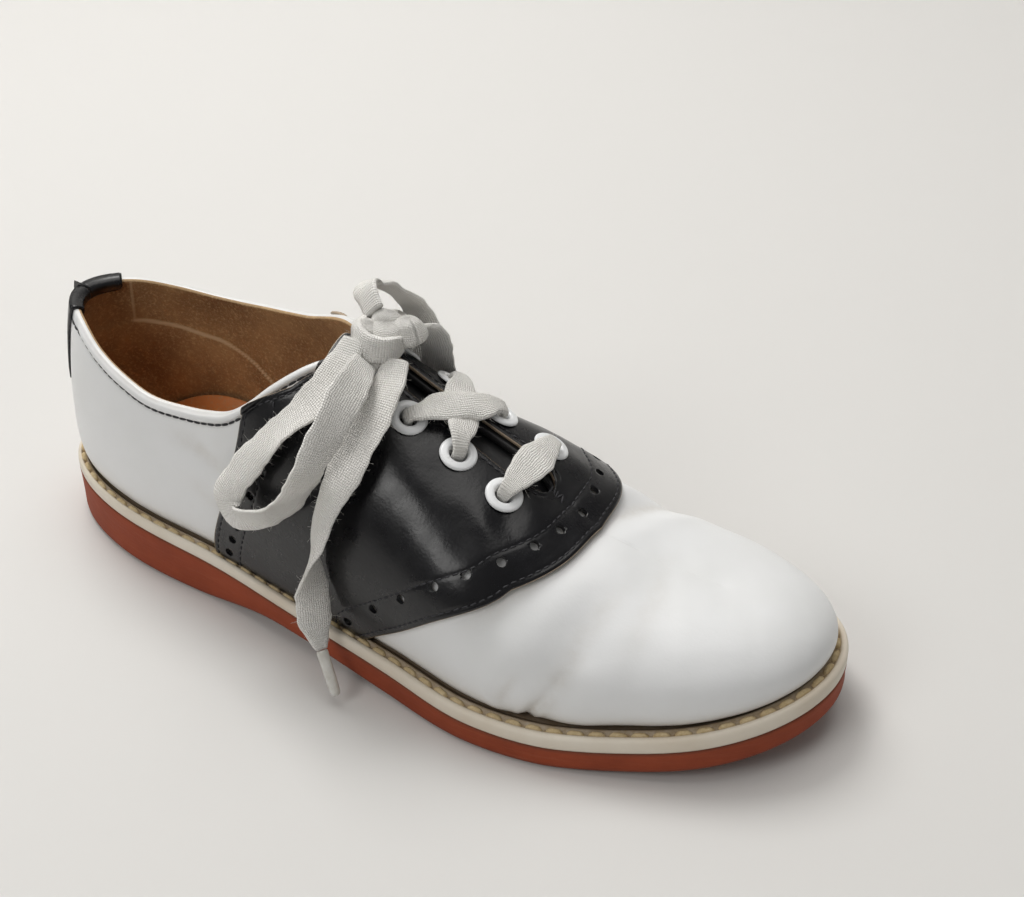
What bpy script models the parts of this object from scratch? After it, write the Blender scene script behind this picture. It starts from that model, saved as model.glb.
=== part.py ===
"""A right-foot saddle shoe: welted rubber sole, hollow leather upper, saddle, tongue, eyelets and laces.

X runs from heel to toe, +Y is the inner (medial) side and Z is up, with the sole standing on Z = 0.
Sizes are in millimetres until a mesh is made. "Along" is a distance from the back of the heel.
"""
import math

import bpy
import numpy as np

MM = 0.001

# Driving sizes
LENGTH = 262.0            # outsole, heel to toe
HEEL_LINE_Y = 1.1         # the heel's middle line, beside the middle of the whole shoe
GAP = 0.3                 # between pieces that meet
UPPER_WALL = 2.2          # leather with its lining
SADDLE_WALL = 1.3
SADDLE_LIFT = 0.75        # saddle's inner face over the upper
TONGUE_WALL = 2.2
TONGUE_DROP = 0.7         # tongue under the upper's inner face
INSOLE_THICK = 2.5
TOE_SPRING = 10.3
ARCH_LIFT = 4.0
HOLE_R = 3.4              # punched for the eyelets
EYELET_BORE_R = 2.5
EYELET_FLANGE_R = 5.5
LACE_WIDE = 10.5
LACE_THICK = 1.6

# Sole outline: middle line and half width at distances along the shoe, both ends rounded
HEEL_ROUND = 65.8
TOE_ROUND = 54.2
ROUND_POWER = 2.2
OUTLINE = {
    "along":  (0, 31, 79, 110, 144, 173, 194, 220, 241, 262),
    "middle": (0, 0, -3.1, -7.4, -5.7, -3.5, -0.9, 3.6, 5.2, 7.4),
    "half":   (29.8, 30.9, 30.1, 30.6, 37.7, 44.8, 45.8, 42.9, 41.0, 39.7),
}
# Rubber sole's top above the floor, before the toe spring
RUBBER = {
    "along": (0, 58, 100, 131, 162, 262),
    "top":   (16.6, 15.4, 12.2, 10.2, 8.0, 8.0),
}
FLAT_HEEL_END = 66.0
ARCH_TOP = 100.0
FLAT_BALL_START = 160.0
FLAT_BALL_END = 183.4
# Welt: thickness, and how far it stands out from the upper's feather line
WELT = {
    "along":  (0, 90, 180, 262),
    "thick":  (3.5, 3.9, 4.3, 4.7),
    "margin": (3.0, 4.0, 5.0, 5.0),
}
# Last: the ridge over the foot, which the throat and the collar cut away behind the vamp
RIDGE = {
    "along": (0, 60, 100, 117, 134, 151, 167, 185, 205, 225, 262),
    "high":  (110, 107, 97, 87, 77.5, 69, 61.5, 52, 45.5, 41.5, 38),
    "aside": (0, 0, 0, -0.5, -0.5, -0.5, -0.7, -1, 1, 3.3, 5.5),
}
HEEL_PULL = (30.0, 22.0)  # ridge end ahead of the heel, and the reach of that pull
TOE_PULL = (36.0, 34.0)   # ridge end behind the toe, and its reach
# Last: side walls, with the bulge over the feather line on the outer and inner side
WALLS = {
    "along":     (0, 30, 80, 120, 160, 200, 235, 262),
    "bulge_out": (6, 5, 4, 5, 6.5, 7.5, 8, 8),
    "bulge_in":  (6, 6, 5, 4, 7, 6, 6.5, 8),
    "rise":      (0.2, 0.3, 0.5, 0.58, 0.6, 0.55, 0.6, 0.6),
    "shoulder":  (0.68, 0.77, 0.75, 0.68, 0.72, 0.57, 0.6, 0.58),
}
# Collar edge above the floor, on the outer and inner side
COLLAR = {
    "along": (0, 15, 28, 41, 53, 65, 75, 83, 90, 97, 105, 114),
    "out":   (77, 76, 71.5, 68, 65.5, 66, 67.5, 70, 75, 81.5, 87, 89.5),
    "in":    (77, 76, 73.8, 72.3, 72.8, 74.8, 76.8, 78.8, 82, 85.5, 88.5, 89.5),
}
BEAD_HIGH = 0.8           # rolled edge of the collar
BEAD_FADE = 2.5
# Throat: half the gap between the facings
THROAT_START = 95.0
CORNER = 50.0             # sharpness of the corner between collar and facing
THROAT_END = 178.0
THROAT = {
    "along": (110, 130, 150, 166, 171, 175, 177, 178),
    "half":  (3.0, 3.4, 4.2, 5.0, 4.7, 3.3, 1.9, 0),
}
# Saddle: its rear and front edges at fractions of the wall's height
SADDLE = {
    "part_up": (0, 0.15, 0.3, 0.5, 0.75, 1),
    "rear":    (75.6, 77, 79.4, 84, 88.5, 90.3),
    "front":   (132.7, 148, 160, 175, 189.5, 196),
}
# Tongue: half width, from its end under the vamp to its top
TONGUE = {
    "along": (109, 112, 120, 140, 165, 188),
    "half":  (17, 20, 21.5, 20, 17, 14),
}
# Heel tab: distance below or inside the collar, and its half width
TAB_OUTSIDE = {
    "below": (30, 22, 14, 7, 3.2, 1.2),
    "half":  (6.5, 7, 8, 9.5, 11, 11.5),
}
TAB_INSIDE = {
    "below": (1, 2.5, 4),
    "half":  (11.5, 11, 10.5),
}
TAB_THICK = 0.9
TAB_LIFT = 0.45           # tab's inner face over the upper
TAB_LIFT_INSIDE = 0.8
TAB_CLEAR = 3.0           # between the tab and the end of the collar's bead
TAB_OVER_RIM = {"rise": 0.4, "crown": 0.5, "outside": 0.4, "inside": 0.1}
TAB_FOLD_THICK = 0.7      # of its full thickness where it folds over the rim
EYELET_HIGH = 1.1         # flange over its seat
EYELET_SHANK = 0.15       # barrel's end under the upper's inner face
EYELET_RIM = (
    # inside the flange's edge, over the seat
    (0.2, 0),
    (0, 0.4),
    (0.5, 0.9),
    (1.7, EYELET_HIGH),
)
EYELET_MOUTH = ((0.3, 0.8), (0, 0.2))  # outside the bore, over the seat
# Lace between two eyelets: its ends in the bores, its turn over each flange, and its arch over the throat
LACE_PATH = {"sink": 1.0, "rise": 1.9, "turn_in": 3.0, "turn_up": 1.1, "shoulder": 1.2, "arch": 1.5}
LACE_IN_BORE = {"wide": 3.0, "thick": 1.8}
# Strand from a top eyelet into the knot: heights over its seat, and how far it has turned in
STRAND = {"rise": 1.2, "turn_up": 3.2, "turn_in": 2.2, "sag_up": 2.0, "to_knot": 0.55}
# Eyelet rows: distance along, and half the distance between a pair
EYELETS = {
    "along": (167.5, 151.5, 135.5, 120.0),
    "half":  (13.0, 11.2, 11.2, 9.6),
}

# Lace routes from the middle of the shoe and the heel's line: x, y, z, which way the lace's width lies
LOOP_OUTER = (
    # x, y, z, width x, width y, width z
    (-13.2, -9.4, 95.8, 1, 0.04, -0.09),
    (-13.4, -18.5, 90, 0.96, 0.02, -0.29),
    (-15.3, -25.5, 85.9, 0.93, -0.28, -0.23),
    (-22.7, -32.5, 77.4, 0.67, -0.72, -0.17),
    (-31.2, -36, 67, 0.75, -0.51, -0.42),
    (-37.5, -38, 57.7, 0.85, -0.38, -0.37),
    (-40.3, -39.5, 50.9, 0.98, -0.07, 0.17),
    (-38.1, -40.5, 46.9, 0.56, -0.1, 0.82),
    (-30.2, -41, 48.4, -0.33, -0.5, 0.8),
    (-20.7, -41, 55.2, -0.42, -0.78, 0.47),
    (-13.2, -41.6, 64.2, -0.36, -0.86, 0.36),
    (-8, -42.2, 73.7, -0.4, -0.8, 0.45),
    (-5, -37.8, 82.7, -0.52, -0.61, 0.59),
    (-4.6, -30, 88.9, -0.66, -0.4, 0.64),
    (-5.3, -22.1, 91.6, -0.7, -0.25, 0.66),
    (-8.2, -12.6, 91.4, -0.8, -0.1, 0.6),
)
END_OUTER = (
    (-1.4, -6.9, 91, 0.98, 0.17, 0.08),
    (0.2, -14.5, 87, 0.99, 0.06, 0.12),
    (0.3, -25, 80.4, 0.98, 0.07, -0.19),
    (-1.2, -33, 72.5, 0.98, -0.05, -0.18),
    (-3.5, -39.5, 63.7, 0.97, -0.11, -0.22),
    (-6.2, -42.5, 54.6, 0.86, -0.5, -0.09),
    (-8, -44, 45.6, 0.45, -0.89, 0.03),
    (-8.9, -44.5, 36.5, -0.16, -0.99, 0.06),
    (-8.7, -45, 28.7, -0.56, -0.83, 0.04),
    (-8.1, -45.8, 20.9, -0.62, -0.79, 0.01),
    (-5.2, -48, 14.8, -0.51, -0.85, 0.06),
)
AGLET_OUTER = ((-4.97, -48.14, 14.48), (2.8, -53.2, 3.7))
LOOP_INNER = (
    (-13.4, 1.1, 98.9, 0.5, 0.2, 0.8),
    (-17.5, 4.5, 101.4, 0.5, 0.1, 0.85),
    (-19.9, 8, 101.9, 0.75, -0.1, 0.5),
    (-19.2, 12, 101.4, 0.9, 0.1, 0.2),
    (-17.2, 16.5, 97.2, 0.9, 0.1, 0),
    (-14.6, 21.5, 91.4, 0.9, 0.1, 0),
    (-12.8, 24.8, 83.4, 0.9, 0.2, 0),
    (-13.2, 25.3, 75, 0.8, 0.4, 0.1),
    (-13.2, 26.7, 67, 0.8, 0.5, 0.1),
    (-13.8, 28.2, 59, 0.8, 0.5, 0.1),
    (-13.4, 29.9, 52, 0.8, 0.4, 0.1),
    (-10.4, 30, 49.2, 0.9, 0.3, 0.1),
    (-7.6, 27.6, 55.1, 0.9, 0.2, 0.1),
    (-7, 25, 63.2, 0.9, 0.1, 0.1),
    (-5.8, 22, 72.5, 0.9, 0.1, 0.1),
    (-4.2, 17.5, 82.6, 0.9, 0, 0.3),
    (-3.4, 13, 90, 0.9, 0, 0.4),
    (-2.8, 8.7, 92.8, 0.9, 0, 0.4),
)
END_INNER = (
    (-9.6, 9.0, 92.2, 0.8, 0, 0.4),
    (-15.5, 13.8, 88.8, 0.8, 0.1, 0.4),
    (-25.5, 21.5, 83.8, 0.8, 0.2, 0.3),
    (-31, 28.5, 76, 0.8, 0.3, 0.2),
    (-31.5, 32.3, 67, 0.8, 0.4, 0.2),
    (-31.5, 34, 57.5, 0.8, 0.5, 0.1),
    (-33, 34.8, 48, 0.8, 0.5, 0),
    (-34, 35, 38, 0.8, 0.5, 0),
    (-34.5, 34.8, 29, 0.8, 0.5, 0),
)
AGLET_INNER = ((-34.55, 34.77, 28.6), (-35.9, 34.4, 15.6))
AGLET_R = 1.7
KNOT_MIDDLE = (-8.0, -0.6, 93.6)
KNOT_HALF = (7.0, 8.0, 5.6)

# Wall heights where the surfaces have their rows, closer together under the collar's bead
ROWS = np.array([0, 0.14, 0.29, 0.45, 0.6, 0.73, 0.85, 0.945, 0.96, 1])
BEAD = np.array([0, 0, 0, 0, 0, 0, 0, 0, 1, 0.8])
OUTER, INNER = -1, 1      # the shoe's two sides, by the sign of Y


def through(x, xs, ys):
    """Smooth curve through the points (xs, ys), a cubic between each two with a mean slope at each."""
    xs, ys = np.asarray(xs, float), np.asarray(ys, float)
    step = np.diff(xs)
    slope = np.diff(ys) / step
    tangent = np.empty_like(xs)
    tangent[1:-1] = (slope[:-1] * step[1:] + slope[1:] * step[:-1]) / (step[:-1] + step[1:])
    tangent[0], tangent[-1] = slope[0], slope[-1]
    x = np.clip(x, xs[0], xs[-1])
    i = np.clip(np.searchsorted(xs, x, side="right") - 1, 0, len(xs) - 2)
    t = (x - xs[i]) / step[i]
    return ((2 * t**3 - 3 * t**2 + 1) * ys[i] + (t**3 - 2 * t**2 + t) * step[i] * tangent[i]
            + (3 * t**2 - 2 * t**3) * ys[i + 1] + (t**3 - t**2) * step[i] * tangent[i + 1])


def ease(x, start, end):
    """Nothing before start, 1 after end, smooth between."""
    t = np.clip((x - start) / (end - start), 0, 1)
    return t * t * (3 - 2 * t)


def column(table, name, at, key="along"):
    return through(at, table[key], table[name])


# Sole

def outline(t, side, inset=0.0):
    """Sole edge at station t, 0 at the heel and 1 at the toe: along, y and the outward direction."""
    def edge(u):
        x = sole_x(u)
        heel = 1 - np.clip(x / HEEL_ROUND, 0, 1)
        toe = 1 - np.clip((LENGTH - x) / TOE_ROUND, 0, 1)
        cap = np.sqrt(np.clip(1 - heel**ROUND_POWER, 0, 1)) * np.sqrt(np.clip(1 - toe**ROUND_POWER, 0, 1))
        return x, column(OUTLINE, "middle", x) + side * column(OUTLINE, "half", x) * cap

    t = np.asarray(t, float)
    x0, y0 = edge(np.clip(t - 0.002, 0, 1))
    x1, y1 = edge(np.clip(t + 0.002, 0, 1))
    out = np.stack([-side * (y1 - y0), side * (x1 - x0)], -1)
    out = np.where((t <= 0)[..., None], (-1.0, 0.0), out)
    out = np.where((t >= 1)[..., None], (1.0, 0.0), out)
    out = out / np.linalg.norm(out, axis=-1, keepdims=True)
    x, y = edge(t)
    return x - out[..., 0] * inset, y - out[..., 1] * inset, out


def spring(x):
    return TOE_SPRING * (np.clip(x - FLAT_BALL_END, 0, None) / (LENGTH - FLAT_BALL_END)) ** 2


def floor_side(x):
    """Underside: flat at heel and ball, lifted under the arch and at the toe."""
    arch = ARCH_LIFT * ease(x, FLAT_HEEL_END, ARCH_TOP) * (1 - ease(x, ARCH_TOP, FLAT_BALL_START))
    return arch + spring(x)


def rubber_top(x):
    return column(RUBBER, "top", x) + spring(x)


def welt_top(x):
    return rubber_top(x) + GAP + column(WELT, "thick", x)


# Last

def feather(t, side, inset=0.0):
    x, _, _ = outline(t, side)
    return outline(t, side, column(WELT, "margin", x) + inset)


def along_of(t):
    """Nominal distance along for station t, the same on both sides."""
    heel, toe = WELT["margin"][0], WELT["margin"][-1]
    return heel + (LENGTH - heel - toe) * (0.5 - 0.5 * np.cos(math.pi * np.asarray(t, float)))


def sole_x(t):
    """Distance along the outline at station t, from 0 at the heel's edge to LENGTH at the toe's."""
    return LENGTH * (0.5 - 0.5 * np.cos(math.pi * np.asarray(t, float)))


def station_of(along):
    heel, toe = WELT["margin"][0], WELT["margin"][-1]
    part = (np.asarray(along, float) - heel) / (LENGTH - heel - toe)
    return np.arccos(np.clip(1 - 2 * part, -1, 1)) / math.pi


def last(t, v, side):
    """Last's surface: station t, v from the feather line (0) over the shoulder to the ridge (1)."""
    t, v = np.broadcast_arrays(np.asarray(t, float), np.asarray(v, float))
    x, y, out = feather(t, side)
    along = along_of(t)
    low = np.stack([x, y, welt_top(x) + GAP], -1)
    ridge_x = (along + HEEL_PULL[0] * np.exp(-along / HEEL_PULL[1])
               - TOE_PULL[0] * np.exp(-(LENGTH - along) / TOE_PULL[1]))
    high = np.stack([ridge_x, column(RIDGE, "aside", ridge_x), column(RIDGE, "high", ridge_x)], -1)
    edge = sole_x(t)
    bulge = column(WALLS, "bulge_out" if side == OUTER else "bulge_in", edge)
    rise = column(WALLS, "rise", edge)
    shoulder = column(WALLS, "shoulder", edge)[..., None]
    reach = high[..., 2] - low[..., 2]
    first = low + np.stack([out[..., 0] * bulge, out[..., 1] * bulge, rise * reach], -1)
    second = high + (low - high) * shoulder
    second[..., 2] = high[..., 2]
    v = v[..., None]
    w = 1 - v
    return w**3 * low + 3 * w * w * v * first + 3 * w * v * v * second + v**3 * high


def top_of(t, side):
    """v at the upper's free edge: the collar, then the facing beside the throat, then the closed vamp."""
    t = np.asarray(t, float)
    along = along_of(t)
    v = np.linspace(0.1, 1, 240)
    wall = last(t[:, None], v[None], side)
    collar = column(COLLAR, "out" if side == OUTER else "in", sole_x(t))
    half = column(THROAT, "half", along)
    top = np.ones_like(t)
    for i in range(len(t)):
        if along[i] >= THROAT_END - 0.01:
            continue
        if along[i] < COLLAR["along"][-1]:
            top[i] = np.interp(collar[i], wall[i, :, 2], v)
        if along[i] > THROAT_START:
            off_ridge = np.abs(wall[i, :, 1] - wall[i, -1, 1])
            facing = np.interp(-half[i], -off_ridge, v)
            top[i] = -np.log(np.exp(-CORNER * top[i]) + np.exp(-CORNER * facing)) / CORNER
    return top


def normals_of(points, faces):
    """Normal at each point, the mean of its faces weighted by their area."""
    a, b, c, d = (points[faces[:, k]] for k in range(4))
    normal = np.cross(c - a, d - b)
    total = np.zeros_like(points)
    for k in range(4):
        np.add.at(total, faces[:, k], normal)
    return total / np.linalg.norm(total, axis=1, keepdims=True)


def grid_faces(rows, columns, flip=False):
    index = np.arange(rows * columns).reshape(rows, columns)
    quads = np.stack([index[:-1, :-1], index[1:, :-1], index[1:, 1:], index[:-1, 1:]], -1).reshape(-1, 4)
    return quads[:, ::-1] if flip else quads


def weld(points, faces, values):
    """Joins points at the same place, and gives the joined points, faces and values."""
    _, first, inverse = np.unique(np.round(points, 4), axis=0, return_index=True, return_inverse=True)
    return points[first], inverse.reshape(-1)[faces], values[first]


def both_sides(patch, values):
    """Joins the outer and inner side's grids, given by patch(side) as points [station, row, xyz]."""
    points, faces, extra, count = [], [], [], 0
    for side in (OUTER, INNER):
        grid = patch(side)
        rows, columns = grid.shape[:2]
        faces.append(grid_faces(rows, columns, flip=(side == INNER)) + count)
        points.append(grid.reshape(-1, 3))
        extra.append(values(side).reshape(-1))
        count += rows * columns
    return weld(np.concatenate(points), np.concatenate(faces), np.concatenate(extra))


# Meshes

def material(name, colour, roughness, metallic=0.0):
    made = bpy.data.materials.new(name)
    made.use_nodes = True
    shader = made.node_tree.nodes["Principled BSDF"]
    shader.inputs["Base Color"].default_value = (*colour, 1)
    shader.inputs["Roughness"].default_value = roughness
    shader.inputs["Metallic"].default_value = metallic
    return made


def volume(points, faces):
    """Six times the volume inside the faces, below nothing where they point inwards."""
    return sum(float(np.dot(points[f[0]], np.cross(points[f[i]], points[f[i + 1]])))
               for f in faces for i in range(1, len(f) - 1))


def make(name, points, faces, finish, sharp=40):
    points = np.asarray(points, float) + (-LENGTH / 2, HEEL_LINE_Y, 0)
    if volume(points, faces) < 0:
        faces = [f[::-1] for f in faces]
    mesh = bpy.data.meshes.new(name)
    mesh.from_pydata((points * MM).tolist(), [], [[int(i) for i in dict.fromkeys(f)] for f in faces])
    mesh.validate()
    mesh.shade_smooth()
    mesh.set_sharp_from_angle(angle=math.radians(sharp))
    made = bpy.data.objects.new(name, mesh)
    bpy.context.scene.collection.objects.link(made)
    if finish:
        mesh.materials.append(finish)
    return made


def split(points, face):
    """Triangles of a four-sided face, split along its shorter diagonal."""
    if len(face) < 4:
        return [face]
    a, b, c, d = face
    if np.linalg.norm(points[a] - points[c]) <= np.linalg.norm(points[b] - points[d]):
        return [[a, b, c], [a, c, d]]
    return [[a, b, d], [b, c, d]]


def shell(name, near, far, faces, finish):
    """Solid between two like surfaces, near inside and far outside, closed along every free edge."""
    count = len(near)
    faces = [list(dict.fromkeys(f)) for f in faces.tolist()]
    faces = [part for f in faces if len(f) > 2 for part in split(near, f)]
    used = {}
    for face in faces:
        for a, b in zip(face, face[1:] + face[:1]):
            used[(a, b)] = used.get((a, b), 0) + 1
    rim = [(a, b) for (a, b) in used if (b, a) not in used]
    solid = [[i + count for i in face] for face in faces]
    solid += [face[::-1] for face in faces]
    solid += [[a, b, b + count, a + count] for a, b in rim]
    return make(name, np.concatenate([near, far]), solid, finish)


def slab(name, levels, finish, stations=34):
    """Flat piece of the sole: levels of (inset from the outline, height at a distance along)."""
    t = np.linspace(0, 1, stations)
    points = []
    for inset, height in levels:
        for side, order in ((OUTER, t), (INNER, t[-2:0:-1])):
            x, y, _ = outline(order, side, 0.0)
            x, y, _ = outline(order, side, inset(x) if callable(inset) else inset)
            points.append(np.stack([x, y, height(x)], -1))
    ring = 2 * stations - 2
    faces = []
    for level in range(len(levels) - 1):
        for i in range(ring):
            a, b = level * ring + i, level * ring + (i + 1) % ring
            faces.append((a, b, b + ring, a + ring))
    last_ring = (len(levels) - 1) * ring
    for base, flip in ((0, True), (last_ring, False)):
        for i in range(stations - 1):
            far_a, far_b = (ring - i) % ring, ring - i - 1
            face = (base + i, base + i + 1, base + far_b, base + far_a)
            faces.append(face[::-1] if flip else face)
    return make(name, np.concatenate(points), faces, finish, sharp=50)


def strap(route, wide, thick, across, caps=(1.0, 1.0), steps=None):
    """Flat lace along a smooth route: points and faces of a closed tube with eight corners."""
    route, across = np.asarray(route, float), np.asarray(across, float)
    knots = np.concatenate([[0], np.cumsum(np.linalg.norm(np.diff(route, axis=0), axis=1))])
    steps = steps or max(8, int(knots[-1] / 5.2))
    s = np.linspace(0, knots[-1], steps)
    line = np.stack([through(s, knots, route[:, k]) for k in range(3)], -1)
    width_way = np.stack([np.interp(s, knots, across[:, k]) for k in range(3)], -1)
    wide = np.interp(s, np.linspace(0, knots[-1], len(wide)), wide)
    thick = np.interp(s, np.linspace(0, knots[-1], len(thick)), thick)
    ahead = np.gradient(line, axis=0)
    ahead /= np.linalg.norm(ahead, axis=1, keepdims=True)
    width_way -= (width_way * ahead).sum(1, keepdims=True) * ahead
    width_way /= np.linalg.norm(width_way, axis=1, keepdims=True)
    up = np.cross(ahead, width_way)
    corner = ((1, 0.4), (0.9, 1), (-0.9, 1), (-1, 0.4), (-1, -0.4), (-0.9, -1), (0.9, -1), (1, -0.4))
    points = np.stack([line + width_way * (a * wide / 2)[:, None] + up * (b * thick / 2)[:, None]
                       for a, b in corner], 1).reshape(-1, 3)
    n = len(corner)
    faces = []
    for i in range(steps - 1):
        for k in range(n):
            a, b = i * n + k, i * n + (k + 1) % n
            faces.append((a, a + n, b + n, b))
    faces.append(tuple(range(n)))
    faces.append(tuple(reversed(range((steps - 1) * n, steps * n))))
    return points, faces


def from_middle(points):
    """Route points from the middle of the shoe, as distances along."""
    return np.asarray(points, float)[:, :3] + (LENGTH / 2, 0, 0)


def lace(name, table, finish, wide=(LACE_WIDE,), thick=(LACE_THICK,)):
    table = np.asarray(table, float)
    points, faces = strap(from_middle(table), wide, thick, table[:, 3:6])
    return make(name, points, faces, finish)


def turned(profile, middle, axis, segments=10):
    """Ring turned about an axis from (radius, height) points given anticlockwise."""
    axis = np.asarray(axis, float)
    aside = np.cross(axis, (1.0, 0.0, 0.0))
    aside /= np.linalg.norm(aside)
    third = np.cross(axis, aside)
    angle = np.arange(segments) * 2 * math.pi / segments
    spoke = np.cos(angle)[:, None] * aside + np.sin(angle)[:, None] * third
    points = np.concatenate([middle + spoke * r + axis * h for r, h in profile])
    faces = []
    n = len(profile)
    for k in range(n):
        for i in range(segments):
            a, b = k * segments + i, k * segments + (i + 1) % segments
            c, d = ((k + 1) % n) * segments + i, ((k + 1) % n) * segments + (i + 1) % segments
            faces.append((a, b, d, c))
    return points, faces


def cut(target, cutter):
    boolean = target.modifiers.new("eyelet holes", "BOOLEAN")
    boolean.operation = "DIFFERENCE"
    boolean.object = cutter


def join(target, other):
    boolean = target.modifiers.new("joined", "BOOLEAN")
    boolean.operation = "UNION"
    boolean.object = other
    other.hide_render = True
    other.display_type = "WIRE"


# Pieces

def sole_pieces():
    rubber = material("brick_red_rubber", (0.33, 0.07, 0.035), 0.62)
    cream = material("cream_welt", (0.72, 0.66, 0.54), 0.55)
    tan = material("tan_insole", (0.62, 0.28, 0.09), 0.6)
    slab("outsole", (
        (1.0, floor_side),
        (0.0, lambda x: floor_side(x) + 1.0),
        (0.0, rubber_top),
    ), rubber)
    slab("welt", (
        (0.2, lambda x: rubber_top(x) + GAP),
        (0.0, lambda x: rubber_top(x) + GAP + 0.6),
        (0.0, lambda x: welt_top(x) - 1.2),
        (1.2, welt_top),
    ), cream)

    def inside(x):
        return column(WELT, "margin", x) + UPPER_WALL + 2 * GAP

    slab("insole", (
        (inside, lambda x: welt_top(x) + GAP),
        (inside, lambda x: welt_top(x) + GAP + INSOLE_THICK),
    ), tan, stations=32)


def upper_stations():
    """Stations close together at the rounded ends and at the throat's end."""
    even = station_of(np.concatenate([
        along_of(np.linspace(0, 0.27, 9)), np.arange(54.0, 95.0, 8.0), np.arange(98.0, 119.0, 4.0),
        np.arange(122.0, 168.0, 9.0), (167, 171.5, 174.8, 176.8, THROAT_END), np.arange(184.0, 208.0, 8.0),
        along_of(np.linspace(0.7, 1, 11))]))
    return np.unique(np.round(even, 6))


def upper():
    t = upper_stations()
    along = along_of(t)
    ahead_of_saddle = 1 - ease(along, SADDLE["rear"][-1] - 9, SADDLE["rear"][-1] - 5)

    def patch(side):
        return last(t[:, None], ROWS[None] * top_of(t, side)[:, None], side)

    def bead(side):
        aside = np.abs(last(t, top_of(t, side), side)[:, 1] - HEEL_LINE_Y)
        bare = TAB_OUTSIDE["half"][-1] + TAB_CLEAR
        beside_tab = ease(aside, bare, bare + BEAD_FADE)
        return BEAD_HIGH * BEAD[None] * (ahead_of_saddle * beside_tab)[:, None]

    points, faces, lift = both_sides(patch, bead)
    normal = normals_of(points, faces)
    white = material("white_leather", (0.78, 0.79, 0.8), 0.38)
    return shell("upper", points - normal * UPPER_WALL, points + normal * lift[:, None], faces, white)


def saddle():
    rear_end, front_end = SADDLE["rear"][-1], SADDLE["front"][-1]
    between = along_of(upper_stations())
    between = between[(between > rear_end + 2) & (between < front_end - 2)]
    ahead = np.concatenate([[0], (between - rear_end) / (front_end - rear_end), [1]])

    def stations(side):
        rear = station_of(column(SADDLE, "rear", ROWS, "part_up"))
        front = station_of(column(SADDLE, "front", ROWS, "part_up"))
        along = along_of(rear)[None] + ahead[:, None] * (along_of(front) - along_of(rear))[None]
        return station_of(along)

    def patch(side):
        t = stations(side)
        top = top_of(t.reshape(-1), side).reshape(t.shape)
        return last(t, ROWS[None] * top, side)

    points, faces, _ = both_sides(patch, lambda side: np.zeros((len(ahead), len(ROWS))))
    normal = normals_of(points, faces)
    black = material("black_leather", (0.012, 0.012, 0.014), 0.22)
    return shell("saddle", points + normal * SADDLE_LIFT, points + normal * (SADDLE_LIFT + SADDLE_WALL),
                 faces, black)


def tongue():
    along = np.concatenate([np.linspace(TONGUE["along"][0], 172, 9), [180, 188]])
    t = station_of(along)
    across = np.array([0, 0.2, 0.42, 0.62, 0.82, 1])

    def patch(side):
        v = np.linspace(0.3, 1, 200)
        wall = last(t[:, None], v[None], side)
        half = column(TONGUE, "half", along)
        edge = np.array([np.interp(-half[i], -np.abs(wall[i, :, 1] - wall[i, -1, 1]), v)
                         for i in range(len(t))])
        return last(t[:, None], 1 - (1 - edge[:, None]) * (1 - across[None]), side)

    points, faces, _ = both_sides(patch, lambda side: np.zeros((len(t), len(across))))
    normal = normals_of(points, faces)
    high = UPPER_WALL + TONGUE_DROP
    black = material("tongue_leather", (0.02, 0.02, 0.022), 0.4)
    return shell("tongue", points - normal * (high + TONGUE_WALL), points - normal * high, faces, black)


def heel_tab():
    """Strip up the back seam, folded over the collar."""
    across = np.linspace(-1, 1, 7)
    near, far = [], []

    def row(below, half, low, high, low_up=0.0, high_up=0.0):
        y = across * half
        near_row, far_row = [], []
        for value in y:
            side = OUTER if value <= 0 else INNER
            t = np.linspace(0, 0.25, 60)
            wall = last(t, top_of(t, side), side)
            station = np.interp(abs(value), np.abs(wall[:, 1]), t)
            v = np.linspace(0, 1, 200)
            rise = last(np.full(200, station), v, side)
            rim = top_of(np.array([station]), side)[0]
            height = last(station, rim, side)[2] - below
            at = np.interp(height, rise[:, 2], v)
            point = last(station, at, side)
            e = 1e-3
            along_way = last(station + e, at, side) - last(max(station - e, 0), at, side)
            up_way = last(station, at + e, side) - last(station, at - e, side)
            if station <= e:
                along_way = np.array([0, side, 0.0])
            normal = np.cross(along_way, up_way)
            normal /= np.linalg.norm(normal)
            if normal[0] > 0:
                normal = -normal
            near_row.append(point + normal * low + (0, 0, low_up))
            far_row.append(point + normal * high + (0, 0, high_up))
        near.append(near_row)
        far.append(far_row)

    for below, half in zip(TAB_OUTSIDE["below"], TAB_OUTSIDE["half"]):
        row(below, half, TAB_LIFT, TAB_LIFT + TAB_THICK)
    fold = TAB_THICK * TAB_FOLD_THICK
    rise = TAB_OVER_RIM["rise"]
    top = rise + TAB_OVER_RIM["crown"]
    inside = -UPPER_WALL - TAB_LIFT_INSIDE
    row(0, half, TAB_OVER_RIM["outside"], TAB_LIFT + fold, rise, top)
    row(0, half, -UPPER_WALL - TAB_OVER_RIM["inside"], inside - fold, rise, top)
    for below, half in zip(TAB_INSIDE["below"], TAB_INSIDE["half"]):
        row(below, half, inside, inside - TAB_THICK)
    near, far = np.array(near), np.array(far)
    rows, columns = near.shape[:2]
    faces = grid_faces(rows, columns, flip=True)
    black = material("black_tab", (0.015, 0.015, 0.017), 0.35)
    return shell("heel_tab", near.reshape(-1, 3), far.reshape(-1, 3), faces, black)


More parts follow.
